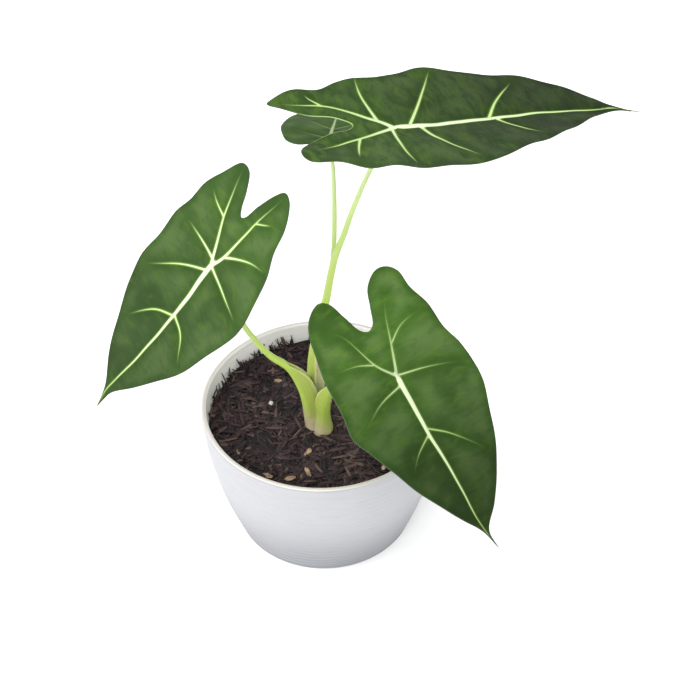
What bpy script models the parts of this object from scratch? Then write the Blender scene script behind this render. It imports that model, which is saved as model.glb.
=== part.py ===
"""A young alocasia in a round pot: pot, potting mix, corm, roots, four stems with their blades,
bark chips and perlite grains.

Units are metres, +Z is up, and the origin is the centre of the pot's flat underside.
-Y is the front. Leaf and stem places are counted from the crown, the point on the potting mix
where the plant stands, so they move with the pot's height and the depth of the mix.
"""
import math
import random

import bmesh
import bpy
import numpy as np
from mathutils import Matrix, Vector
from mathutils.geometry import delaunay_2d_cdt

MM = 0.001

# Pot
POT_HEIGHT = 75.0 * MM
RIM_RADIUS = 60.0 * MM
BASE_RADIUS = 45.0 * MM
WALL = 2.4 * MM
FLOOR = 4.0 * MM
WALL_BULGE = 1.9
FOOT_ROUND = 1.5 * MM
LIP_ROUND = 0.5 * MM
POT_SEGMENTS = 56
POT_LEVELS = 6

# Potting mix
MIX_BELOW_RIM = 16.5 * MM
MIX_DOME = 1.2 * MM
MIX_CLEARANCE = 0.4 * MM

# Crown: where the plant stands on the mix
CROWN_X = -1.8 * MM
CROWN_Y = -2.5 * MM
CORM_RADIUS = 7.2 * MM
CORM_ABOVE = 11.0 * MM
CORM_BELOW = 14.0 * MM
CORM_SEGMENTS = 20

# Gap between pieces that touch
FIT_GAP = 0.4 * MM

# Roots
ROOT_COUNT = 6
ROOT_RADIUS = 1.4 * MM
ROOT_REACH = 27.0 * MM
ROOT_DROP = 24.0 * MM
ROOT_SIDES = 8

# Stems
STEM_SIDES = 10
STEM_STEP = 8.0 * MM

# Blades
BLADE_EDGE = 0.5 * MM
BLADE_BODY = 0.8 * MM
KEEL_DEPTH = 1.7 * MM
KEEL_WIDTH = 1.7 * MM
FOLD_DEGREES = 6.8
FOLD_SOFTNESS = 0.06
ARCH_ACROSS = 2.0 * MM
ARCH_ALONG = 5.0 * MM
BLADE_GRID = 8.0 * MM

# Loose pieces on the mix
CHIP_LENGTH = 6.4 * MM
CHIP_WIDTH = 4.2 * MM
CHIP_THICKNESS = 2.2 * MM
PERLITE_SIZE = 3.0 * MM

# One entry for each leaf. "foot" is where the stem stands inside the corm, in shares of the corm's
# radius, and FOOT_HEIGHT is its height there. "route" is the stem's centre line from there to the
# blade, in millimetres from the crown, and "radii" its radius at the foot and at each route point.
# The last route point is the blade's junction. "heading", "dip" and "bank" turn the blade, in
# degrees. "outline" starts at the tip and goes round the blade's left side: each point is a share
# of the blade's length along the midrib, and a share of its half width to the left.
FOOT_HEIGHT = 0.36
LEAVES = {
    "left": {
        "length": 89.0 * MM,
        "half_width": 39.0 * MM,
        "heading": -156.0,
        "dip": 44.0,
        "bank": 8.0,
        "foot": (-0.50, -0.31),
        "route": [(-4.4, -2.7, 12.0), (-5.4, -3.3, 22.0), (-7.4, -3.9, 32.0),
                  (-13.2, -5.0, 46.0), (-22.0, -7.0, 56.0), (-28.9, -9.5, 69.0),
                  (-33.2, -11.5, 79.5), (-38.8, -16.5, 102.0), (-42.8, -22.5, 128.1)],
        "radii": [2.4, 2.6, 3.0, 3.2, 2.9, 2.0, 1.6, 1.5, 1.4, 1.3],
        "outline": [(1.01, -0.03), (0.89, 0.01), (0.77, 0.26), (0.64, 0.49), (0.47, 0.75),
                    (0.33, 0.85), (0.13, 0.99), (-0.03, 0.91), (-0.16, 0.79), (-0.26, 0.63),
                    (-0.38, 0.50), (-0.48, 0.27), (-0.49, 0.12), (-0.44, 0.03), (-0.34, -0.04),
                    (-0.26, -0.07), (-0.24, -0.12), (-0.27, -0.20), (-0.35, -0.31),
                    (-0.42, -0.46), (-0.42, -0.62), (-0.31, -0.74), (-0.20, -0.84),
                    (-0.09, -0.84), (0.01, -0.89), (0.16, -0.86), (0.30, -0.88),
                    (0.42, -0.79), (0.61, -0.57), (0.78, -0.34), (0.90, -0.14)],
    },
    "tall": {
        "length": 119.0 * MM,
        "half_width": 46.0 * MM,
        "heading": 19.0,
        "dip": 6.5,
        "bank": 6.0,
        "foot": (0.0, 0.35),
        "route": [(-0.6, 3.1, 16.0), (-0.5, 3.5, 35.0), (0.3, 4.0, 52.0),
                  (4.5, 4.5, 79.5), (9.1, 5.5, 104.8), (13.7, 6.0, 119.3), (17.7, 6.5, 132.6),
                  (25.7, 7.0, 154.6), (35.4, 7.5, 176.3)],
        "radii": [2.2, 2.4, 2.3, 2.1, 1.8, 1.6, 1.4, 1.25, 1.1, 1.1],
        "outline": [(1.01, -0.04), (0.90, 0.10), (0.86, 0.25), (0.77, 0.46), (0.68, 0.65),
                    (0.58, 0.75), (0.43, 0.83), (0.32, 0.99), (0.24, 1.01), (0.13, 0.94),
                    (0.06, 0.90), (-0.03, 0.95), (-0.11, 0.87), (-0.18, 0.80), (-0.27, 0.84),
                    (-0.36, 0.75), (-0.40, 0.65), (-0.36, 0.52), (-0.28, 0.37), (-0.19, 0.25),
                    (-0.14, 0.13), (-0.16, 0.06), (-0.24, 0.00), (-0.33, -0.11),
                    (-0.39, -0.29), (-0.38, -0.48), (-0.29, -0.60), (-0.20, -0.78),
                    (-0.11, -0.81), (-0.01, -0.91), (0.16, -0.94), (0.25, -0.91),
                    (0.36, -0.75), (0.55, -0.53), (0.71, -0.28), (0.87, -0.03)],
    },
    "front": {
        "length": 88.0 * MM,
        "half_width": 37.0 * MM,
        "heading": -50.0,
        "dip": 38.0,
        "bank": 3.0,
        "foot": (0.33, -0.53),
        "route": [(2.2, -5.0, 14.0), (3.0, -6.6, 25.0), (5.5, -9.0, 35.0),
                  (10.1, -14.5, 46.6), (16.7, -24.5, 61.3), (25.7, -38.5, 77.0),
                  (32.0, -51.0, 88.0), (35.7, -59.5, 93.4)],
        "radii": [2.8, 3.2, 3.4, 3.2, 2.6, 2.0, 1.6, 1.4, 1.4],
        "outline": [(1.00, 0.06), (0.90, 0.05), (0.80, 0.29), (0.66, 0.54), (0.56, 0.69),
                    (0.42, 0.83), (0.25, 0.98), (0.13, 1.00), (0.03, 0.97), (-0.08, 0.89),
                    (-0.22, 0.87), (-0.34, 0.78), (-0.44, 0.76), (-0.49, 0.65), (-0.50, 0.50),
                    (-0.44, 0.28), (-0.35, 0.17), (-0.27, 0.08), (-0.25, -0.02),
                    (-0.28, -0.13), (-0.37, -0.21), (-0.46, -0.29), (-0.49, -0.42),
                    (-0.45, -0.63), (-0.37, -0.77), (-0.26, -0.85), (-0.13, -0.92),
                    (0.05, -0.95), (0.17, -0.99), (0.27, -0.88), (0.40, -0.74),
                    (0.53, -0.60), (0.70, -0.35), (0.79, -0.20), (0.89, -0.03)],
    },
    "back": {
        "length": 58.0 * MM,
        "half_width": 24.0 * MM,
        "heading": 83.0,
        "dip": 13.0,
        "bank": 0.0,
        "foot": (0.50, 0.72),
        "route": [(3.2, 7.2, 20.0), (2.4, 8.0, 40.0), (2.6, 8.3, 65.0),
                  (5.6, 9.5, 82.3), (8.0, 12.5, 96.9), (9.1, 16.5, 113.9), (8.9, 27.5, 138.7),
                  (7.4, 37.5, 148.8)],
        "radii": [1.5, 1.5, 1.5, 1.4, 1.3, 1.2, 1.15, 1.0, 1.0],
        "outline": [(1.00, 0.00), (0.87, 0.11), (0.72, 0.42), (0.55, 0.71), (0.38, 0.93),
                    (0.20, 1.00), (0.03, 0.92), (-0.10, 0.78), (-0.16, 0.56), (-0.14, 0.35),
                    (-0.09, 0.13), (-0.08, -0.02), (-0.12, -0.20), (-0.18, -0.42),
                    (-0.18, -0.62), (-0.09, -0.84), (0.05, -0.96), (0.21, -1.00),
                    (0.38, -0.90), (0.55, -0.68), (0.72, -0.38), (0.87, -0.09)],
    },
}

# Places of the loose pieces: X and Y as shares of the mix's radius at its top, and the turn in
# degrees.
BARK_CHIPS = [(-0.52, 0.74, 20), (-0.59, 0.60, 70), (-0.40, 0.52, 10), (-0.75, -0.34, 100),
              (-0.13, -0.39, 60), (0.27, -0.45, 35), (-0.13, -0.61, 115), (-0.29, -0.68, 15),
              (-0.47, -0.65, 150), (0.52, -0.57, 40)]
PERLITE_GRAINS = [(-0.47, 0.23, 0), (0.43, 0.40, 40), (-0.68, 0.11, 80), (0.16, 0.68, 120)]

COLOURS = {
    "pot": ((0.86, 0.86, 0.86), 0.35),
    "mix": ((0.045, 0.030, 0.024), 0.95),
    "corm": ((0.52, 0.42, 0.27), 0.55),
    "root": ((0.60, 0.50, 0.36), 0.70),
    "stem": ((0.42, 0.55, 0.13), 0.45),
    "blade": ((0.065, 0.130, 0.035), 0.42),
    "bark": ((0.26, 0.16, 0.09), 0.85),
    "perlite": ((0.70, 0.69, 0.66), 0.90),
}

MIX_TOP = POT_HEIGHT - MIX_BELOW_RIM
CROWN = Vector((CROWN_X, CROWN_Y, MIX_TOP))


def clear_scene():
    """Remove every object that the file starts with."""
    for thing in list(bpy.data.objects):
        bpy.data.objects.remove(thing, do_unlink=True)


def material(key):
    """The Principled BSDF material of a colour entry."""
    made = bpy.data.materials.get(key)
    if made:
        return made
    colour, roughness = COLOURS[key]
    made = bpy.data.materials.new(key)
    made.use_nodes = True
    shader = made.node_tree.nodes["Principled BSDF"]
    shader.inputs["Base Color"].default_value = (*colour, 1.0)
    shader.inputs["Roughness"].default_value = roughness
    shader.inputs["Metallic"].default_value = 0.0
    made.diffuse_color = (*colour, 1.0)
    return made


def object_from(bm, name, key, crease_degrees=50.0):
    """Turn a bmesh into a smooth-shaded object with its material."""
    bmesh.ops.recalc_face_normals(bm, faces=bm.faces)
    mesh = bpy.data.meshes.new(name)
    bm.to_mesh(mesh)
    bm.free()
    mesh.shade_smooth()
    mesh.set_sharp_from_angle(angle=math.radians(crease_degrees))
    mesh.materials.append(material(key))
    made = bpy.data.objects.new(name, mesh)
    bpy.context.collection.objects.link(made)
    return made


def cutter_from(bm, name):
    """An object that only cuts others."""
    made = object_from(bm, name, "mix")
    made.hide_render = True
    made.display_type = "WIRE"
    return made


def cut(target, cutter):
    """Subtract a cutter from a target with a live Boolean."""
    modifier = target.modifiers.new(cutter.name, "BOOLEAN")
    modifier.operation = "DIFFERENCE"
    modifier.solver = "EXACT"
    modifier.object = cutter


def turned(profile, segments, centre=(0.0, 0.0, 0.0)):
    """Spin a profile of (radius, height) points, which starts and ends on the axis."""
    bm = bmesh.new()
    verts = [bm.verts.new((radius, 0.0, height)) for radius, height in profile]
    edges = [bm.edges.new(pair) for pair in zip(verts, verts[1:])]
    bmesh.ops.spin(bm, geom=verts + edges, cent=(0, 0, 0), axis=(0, 0, 1),
                   angle=math.tau, steps=segments, use_merge=True)
    bmesh.ops.remove_doubles(bm, verts=bm.verts, dist=0.01 * MM)
    bmesh.ops.translate(bm, verts=bm.verts, vec=Vector(centre))
    return bm


def smooth_path(points, closed=False, per_span=8):
    """Points along a centripetal Catmull-Rom curve. A closed path keeps a corner at its start."""
    knots = [Vector(point) for point in points]
    if closed:
        knots.append(knots[0])
    ends = [2 * knots[0] - knots[1]] + knots + [2 * knots[-1] - knots[-2]]
    path = []
    for before, start, stop, after in zip(ends, ends[1:], ends[2:], ends[3:]):
        gaps = [max((b - a).length, 1e-9) ** 0.5
                for a, b in ((before, start), (start, stop), (stop, after))]
        slope_in = ((start - before) / gaps[0] - (stop - before) / (gaps[0] + gaps[1])
                    + (stop - start) / gaps[1]) * gaps[1]
        slope_out = ((stop - start) / gaps[1] - (after - start) / (gaps[1] + gaps[2])
                     + (after - stop) / gaps[2]) * gaps[1]
        for step in range(per_span):
            t = step / per_span
            path.append((2 * t**3 - 3 * t**2 + 1) * start + (t**3 - 2 * t**2 + t) * slope_in
                        + (3 * t**2 - 2 * t**3) * stop + (t**3 - t**2) * slope_out)
    if not closed:
        path.append(knots[-1])
    return path


def resampled(path, values, step):
    """Points at even spacing along a path, with a value for each, blended from the given ones."""
    points = np.array([tuple(point) for point in path])
    lengths = np.r_[0.0, np.cumsum(np.linalg.norm(np.diff(points, axis=0), axis=1))]
    count = max(2, int(round(lengths[-1] / step)) + 1)
    even = np.linspace(0.0, lengths[-1], count)
    spots = np.stack([np.interp(even, lengths, points[:, axis])
                      for axis in range(points.shape[1])], axis=1)
    marks = np.linspace(0, len(path) - 1, len(values))
    sizes = np.interp(np.interp(even, lengths, np.arange(len(path))), marks, values)
    return [Vector(spot) for spot in spots], list(sizes)


def tube(points, radii, sides, end_plane=None):
    """A tapered tube. With end_plane, its last ring is cut parallel to a plane of that normal."""
    bm = bmesh.new()
    tangents = [(b - a).normalized() for a, b in zip(points, points[1:])]
    tangents = ([tangents[0]] + [(a + b).normalized() for a, b in zip(tangents, tangents[1:])]
                + [tangents[-1]])
    across = tangents[0].orthogonal().normalized()
    rings = []
    for spot, tangent, radius in zip(points, tangents, radii):
        across = (across - tangent * across.dot(tangent)).normalized()
        other = tangent.cross(across)
        ring = []
        for side in range(sides):
            turn = math.tau * side / sides
            offset = (across * math.cos(turn) + other * math.sin(turn)) * radius
            if end_plane and spot is points[-1]:
                offset -= tangent * (offset.dot(end_plane) / tangent.dot(end_plane))
            ring.append(bm.verts.new(spot + offset))
        rings.append(ring)
    for low, high in zip(rings, rings[1:]):
        for side in range(sides):
            nxt = (side + 1) % sides
            bm.faces.new((low[side], low[nxt], high[nxt], high[side]))
    bm.faces.new(reversed(rings[0]))
    bm.faces.new(rings[-1])
    return bm


def pot_radius(height):
    """The pot's outer radius at a height: the wall bulges a little above a narrower base."""
    share = min(max(height / POT_HEIGHT, 0.0), 1.0)
    return BASE_RADIUS + (RIM_RADIUS - BASE_RADIUS) * (1.0 - (1.0 - share) ** WALL_BULGE)


def wall_levels(low, high):
    """Heights at which the wall has a ring."""
    return [low + (high - low) * level / POT_LEVELS for level in range(POT_LEVELS + 1)]


def make_pot():
    """The pot, open at the top, with a flat base."""
    profile = [(0.0, 0.0), (pot_radius(0.0) - FOOT_ROUND, 0.0)]
    profile += [(pot_radius(z), z) for z in wall_levels(FOOT_ROUND, POT_HEIGHT - LIP_ROUND)]
    profile += [(RIM_RADIUS - LIP_ROUND, POT_HEIGHT), (RIM_RADIUS - WALL + LIP_ROUND, POT_HEIGHT)]
    inner = wall_levels(FLOOR, POT_HEIGHT - LIP_ROUND)
    profile += [(pot_radius(z) - WALL, z) for z in reversed(inner)]
    profile += [(0.0, FLOOR)]
    return object_from(turned(profile, POT_SEGMENTS), "pot", "pot")


def mix_radius():
    """Radius of the mix at its top."""
    return pot_radius(MIX_TOP) - WALL - MIX_CLEARANCE


def mix_height(radius):
    """Height of the mix's top: a low dome that falls to MIX_TOP at the wall."""
    return MIX_TOP + MIX_DOME * (1.0 - (radius / mix_radius()) ** 2)


def make_mix():
    """The potting mix, which fills the pot to just below the rim."""
    levels = [z for z in wall_levels(FLOOR, POT_HEIGHT - LIP_ROUND) if z < MIX_TOP - WALL]
    levels = [FLOOR + MIX_CLEARANCE] + levels[1:] + [MIX_TOP]
    profile = [(0.0, levels[0])]
    profile += [(pot_radius(z) - WALL - MIX_CLEARANCE, z) for z in levels]
    profile += [(mix_radius() * share, mix_height(mix_radius() * share))
                for share in (0.75, 0.45, 0.2)]
    profile += [(0.0, mix_height(0.0))]
    return object_from(turned(profile, POT_SEGMENTS), "potting_mix", "mix")


def corm_profile(grow):
    """The corm's outline, an onion shape, made larger all round by grow."""
    shape = [(0.0, -1.0), (0.55, -0.93), (0.90, -0.57), (1.0, -0.07), (0.94, 0.36),
             (0.72, 0.77), (0.35, 0.96), (0.0, 1.0)]
    profile = []
    for radius, height in shape:
        reach = CORM_ABOVE if height > 0 else CORM_BELOW
        length = math.hypot(radius, height)
        profile.append((radius * CORM_RADIUS + grow * radius / length,
                        height * reach + grow * height / length))
    return profile


def make_corm(mix):
    """The corm, half sunk in the mix, and the cutter that keeps its neighbours clear of it."""
    corm = object_from(turned(corm_profile(0.0), CORM_SEGMENTS, CROWN), "corm", "corm")
    cutter = cutter_from(turned(corm_profile(FIT_GAP), CORM_SEGMENTS, CROWN), "corm_cutter")
    cut(mix, cutter)
    return corm, cutter


def root_points(index):
    """The centre line of a root: out of the corm's lower half, then down."""
    turn = math.tau * (index + 0.5) / ROOT_COUNT
    away = Vector((math.cos(turn), math.sin(turn), 0.0))
    low = CROWN - Vector((0.0, 0.0, CORM_BELOW))
    shares = [(0.05, 0.45), (0.30, 0.30), (0.60, 0.02), (0.82, -0.45), (1.0, -1.0)]
    return smooth_path([low + away * ROOT_REACH * out + Vector((0, 0, ROOT_DROP * up))
                        for out, up in shares], per_span=3)


def make_roots(mix, corm_cutter):
    """Fleshy roots, each in a channel in the mix that opens into the corm's hollow."""
    for index in range(ROOT_COUNT):
        path = root_points(index)
        taper = np.linspace(1.0, 0.5, len(path))
        radii = [ROOT_RADIUS * share for share in taper]
        root = object_from(tube(path, radii, ROOT_SIDES), f"root_{index + 1}", "root")
        cut(root, corm_cutter)
        past_end = path[-1] + (path[-1] - path[-2]).normalized() * FIT_GAP
        wide = [radius + FIT_GAP for radius in radii]
        channel = tube(path[:-1] + [past_end], wide, ROOT_SIDES)
        cut(mix, cutter_from(channel, f"root_{index + 1}_channel"))


def blade_axes(leaf):
    """Unit vectors of a blade: along the midrib, to its left, and out of its upper side."""
    heading, dip, bank = (math.radians(leaf[key]) for key in ("heading", "dip", "bank"))
    along = Vector((math.cos(heading) * math.cos(dip), math.sin(heading) * math.cos(dip),
                    -math.sin(dip)))
    level = Vector((math.cos(heading) * math.sin(dip), math.sin(heading) * math.sin(dip),
                    math.cos(dip)))
    side = level.cross(along)
    up = level * math.cos(bank) + side * math.sin(bank)
    return along, up.cross(along), up


def blade_height(leaf, along, across):
    """Height of a blade's upper side over its plane: a shallow fold that arches down."""
    soft = FOLD_SOFTNESS * leaf["half_width"]
    fold = math.tan(math.radians(FOLD_DEGREES)) * (math.hypot(across, soft) - soft)
    return (fold - ARCH_ACROSS * (across / leaf["half_width"]) ** 2
            - ARCH_ALONG * (along / leaf["length"]) ** 2)


def blade_thickness(leaf, along, across, at_margin):
    """Thickness of a blade: thin at the margin, with a keel under the midrib."""
    if at_margin:
        return BLADE_EDGE
    share = min(max(along / leaf["length"], 0.0), 1.0)
    keel = KEEL_DEPTH * (1.0 - 0.8 * share) * math.exp(-((across / KEEL_WIDTH) ** 2))
    return BLADE_BODY + (keel if along > -2 * KEEL_WIDTH else 0.0)


def inside(outline, along, across):
    """Whether a point lies inside a closed outline."""
    hits = 0
    for (a, b), (c, d) in zip(outline, outline[1:] + outline[:1]):
        if (b > across) != (d > across) and along < a + (across - b) * (c - a) / (d - b):
            hits += 1
    return hits % 2 == 1


def clearance(outline, along, across):
    """Distance from a point to the nearest outline point."""
    return min(math.hypot(a - along, b - across) for a, b in outline)


def blade_grid(leaf):
    """A blade's outline, its inner points and its midrib edges, for the triangulation."""
    corners = [(u * leaf["length"], v * leaf["half_width"], 0.0) for u, v in leaf["outline"]]
    dense = smooth_path(corners, closed=True)
    even, _ = resampled(dense + [dense[0]], [0.0, 0.0], BLADE_GRID * 0.75)
    outline = [(point.x, point.y) for point in even[:-1]]
    fine = [(point.x, point.y) for point in dense]
    inner, edges = [], []
    for lane in (-1.3 * KEEL_WIDTH, 0.0, 1.3 * KEEL_WIDTH):
        row = []
        for step in range(int(leaf["length"] / BLADE_GRID)):
            spot = (step * BLADE_GRID, lane)
            if inside(outline, *spot) and clearance(fine, *spot) > 0.2 * BLADE_GRID:
                row.append(len(inner))
                inner.append(spot)
        edges += list(zip(row, row[1:]))
    rows = int(leaf["half_width"] / (BLADE_GRID * 0.866)) + 1
    for row in range(-rows, rows + 1):
        across = row * BLADE_GRID * 0.866
        for step in range(-int(leaf["length"] / BLADE_GRID), int(leaf["length"] / BLADE_GRID) + 1):
            spot = ((step + 0.5 * (row % 2)) * BLADE_GRID, across)
            on_midrib = spot[0] > -BLADE_GRID and abs(across) < 2.5 * KEEL_WIDTH
            if inside(outline, *spot) and clearance(fine, *spot) > 0.45 * BLADE_GRID:
                if not on_midrib:
                    inner.append(spot)
    return outline, inner, edges


def make_blade(name, leaf):
    """A leaf blade: a thin folded sheet with two lobes at its base."""
    outline, inner, edges = blade_grid(leaf)
    count = len(outline)
    flat = [Vector(spot) for spot in outline + inner]
    links = [(a + count, b + count) for a, b in edges]
    spots, _, faces, _, _, _ = delaunay_2d_cdt(flat, links, [list(range(count))], 1, 1e-7)
    along, left, up = blade_axes(leaf)
    junction = CROWN + Vector(leaf["route"][-1]) * MM
    bm = bmesh.new()
    rows = []
    for thick in (False, True):
        row = []
        for spot in spots:
            height = blade_height(leaf, spot.x, spot.y)
            if thick:
                at_margin = clearance(outline, spot.x, spot.y) < 0.01 * MM
                height -= blade_thickness(leaf, spot.x, spot.y, at_margin)
            row.append(bm.verts.new(junction + along * spot.x + left * spot.y + up * height))
        rows.append(row)
    top, under = rows
    sides = {}
    for face in faces:
        bm.faces.new([top[index] for index in face])
        bm.faces.new([under[index] for index in reversed(face)])
        for a, b in zip(face, face[1:] + face[:1]):
            sides[(a, b)] = True
    for a, b in sides:
        if (b, a) not in sides:
            bm.faces.new((top[b], top[a], under[a], under[b]))
    return object_from(bm, f"blade_{name}", "blade")


def make_petiole(name, leaf, corm_cutter):
    """A leaf's stem: it swells to a sheath at the corm and stops just under the blade."""
    along, left, up = blade_axes(leaf)
    foot = Vector((leaf["foot"][0] * CORM_RADIUS, leaf["foot"][1] * CORM_RADIUS,
                   FOOT_HEIGHT * CORM_ABOVE))
    knots = [CROWN + foot] + [CROWN + Vector(point) * MM for point in leaf["route"]]
    knots[-1] = knots[-1] - up * (BLADE_BODY + KEEL_DEPTH + FIT_GAP)
    radii = [radius * MM for radius in leaf["radii"]]
    points, sizes = resampled(smooth_path(knots), radii, STEM_STEP)
    stem = object_from(tube(points, sizes, STEM_SIDES, up), f"petiole_{name}", "stem")
    cut(stem, corm_cutter)
    return stem


def lump(name, key, size, seed, place, corners):
    """A small irregular piece that lies on the mix: the hull of seeded points on an ellipsoid."""
    rng = random.Random(seed)
    bm = bmesh.new()
    for index in range(corners):
        height = 1.0 - 2.0 * (index + 0.5) / corners
        turn = index * math.pi * (3.0 - math.sqrt(5.0))
        ring = math.sqrt(1.0 - height * height)
        wobble = rng.uniform(0.78, 1.0) * 0.5
        bm.verts.new((ring * math.cos(turn) * wobble * size[0],
                      ring * math.sin(turn) * wobble * size[1], height * wobble * size[2]))
    bmesh.ops.convex_hull(bm, input=bm.verts)
    x, y, turn = place[0] * mix_radius(), place[1] * mix_radius(), math.radians(place[2])
    bmesh.ops.rotate(bm, verts=bm.verts, matrix=Matrix.Rotation(turn, 3, "Z"))
    ground = mix_height(math.hypot(x, y) - size[0] / 2) + FIT_GAP
    lowest = min(vert.co.z for vert in bm.verts)
    bmesh.ops.translate(bm, verts=bm.verts, vec=(x, y, ground - lowest))
    return object_from(bm, name, key)


def make_loose_pieces():
    """Bark chips and perlite grains on the mix."""
    for index, place in enumerate(BARK_CHIPS):
        size = (CHIP_LENGTH, CHIP_WIDTH, CHIP_THICKNESS)
        lump(f"bark_chip_{index + 1}", "bark", size, 11 + index, place, 14)
    for index, place in enumerate(PERLITE_GRAINS):
        size = (PERLITE_SIZE, PERLITE_SIZE * 0.85, PERLITE_SIZE * 0.8)
        lump(f"perlite_{index + 1}", "perlite", size, 41 + index, place, 18)


def main():
    clear_scene()
    make_pot()
    mix = make_mix()
    _, corm_cutter = make_corm(mix)
    make_roots(mix, corm_cutter)
    for name, leaf in LEAVES.items():
        make_blade(name, leaf)
        make_petiole(name, leaf, corm_cutter)
    make_loose_pieces()


main()
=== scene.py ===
"""Potted alocasia: the finished surfaces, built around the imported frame.

Lengths are metres. MM turns millimetres into metres. Leaf and stem places are counted from the
crown, the point on the potting mix where the plant stands.
"""

import math
import random

import bmesh
import bpy
import numpy as np
from mathutils import Matrix, Vector, kdtree, noise
from mathutils.geometry import delaunay_2d_cdt


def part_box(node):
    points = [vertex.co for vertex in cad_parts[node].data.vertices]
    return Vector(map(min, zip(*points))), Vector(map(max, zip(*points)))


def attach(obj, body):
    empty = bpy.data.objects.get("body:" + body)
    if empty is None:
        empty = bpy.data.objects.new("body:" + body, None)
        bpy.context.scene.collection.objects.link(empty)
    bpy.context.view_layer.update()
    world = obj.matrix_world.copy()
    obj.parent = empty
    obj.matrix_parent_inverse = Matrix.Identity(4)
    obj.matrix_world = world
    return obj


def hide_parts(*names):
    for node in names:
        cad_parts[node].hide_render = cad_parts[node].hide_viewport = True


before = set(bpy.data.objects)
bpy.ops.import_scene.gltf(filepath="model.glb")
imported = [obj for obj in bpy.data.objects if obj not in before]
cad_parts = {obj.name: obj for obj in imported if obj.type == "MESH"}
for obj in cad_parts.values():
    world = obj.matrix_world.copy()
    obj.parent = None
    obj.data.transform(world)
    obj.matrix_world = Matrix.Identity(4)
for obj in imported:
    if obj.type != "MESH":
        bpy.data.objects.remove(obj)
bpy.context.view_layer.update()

bl_info = {
    "name": "Potted Alocasia",
    "version": (1, 0, 0),
    "blender": (4, 5, 0),
    "location": "View3D > Sidebar > Alocasia",
    "description": "Builds a potted alocasia around its packed frame",
    "category": "Object",
}

MM = 0.001

# ---------------------------------------------------------------------------------------------
# Places read from the frame
# ---------------------------------------------------------------------------------------------

POT_LOW, POT_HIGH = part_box("pot")
MIX_LOW, MIX_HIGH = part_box("potting_mix")
CORM_LOW, CORM_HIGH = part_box("corm")
# How much of the corm lies under the crown.
CORM_BELOW = 14.0 * MM
CORM_ABOVE = CORM_HIGH.z - CORM_LOW.z - CORM_BELOW
CORM_RADIUS = (CORM_HIGH.x - CORM_LOW.x) / 2
CROWN = Vector(((CORM_LOW.x + CORM_HIGH.x) / 2, (CORM_LOW.y + CORM_HIGH.y) / 2,
                CORM_LOW.z + CORM_BELOW))
MIX_RADIUS = (MIX_HIGH.x - MIX_LOW.x) / 2
MIX_DOME = 1.2 * MM
# How clear of the wall the scattered shreds are kept.
WALL_GAP = 0.35 * MM

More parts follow.
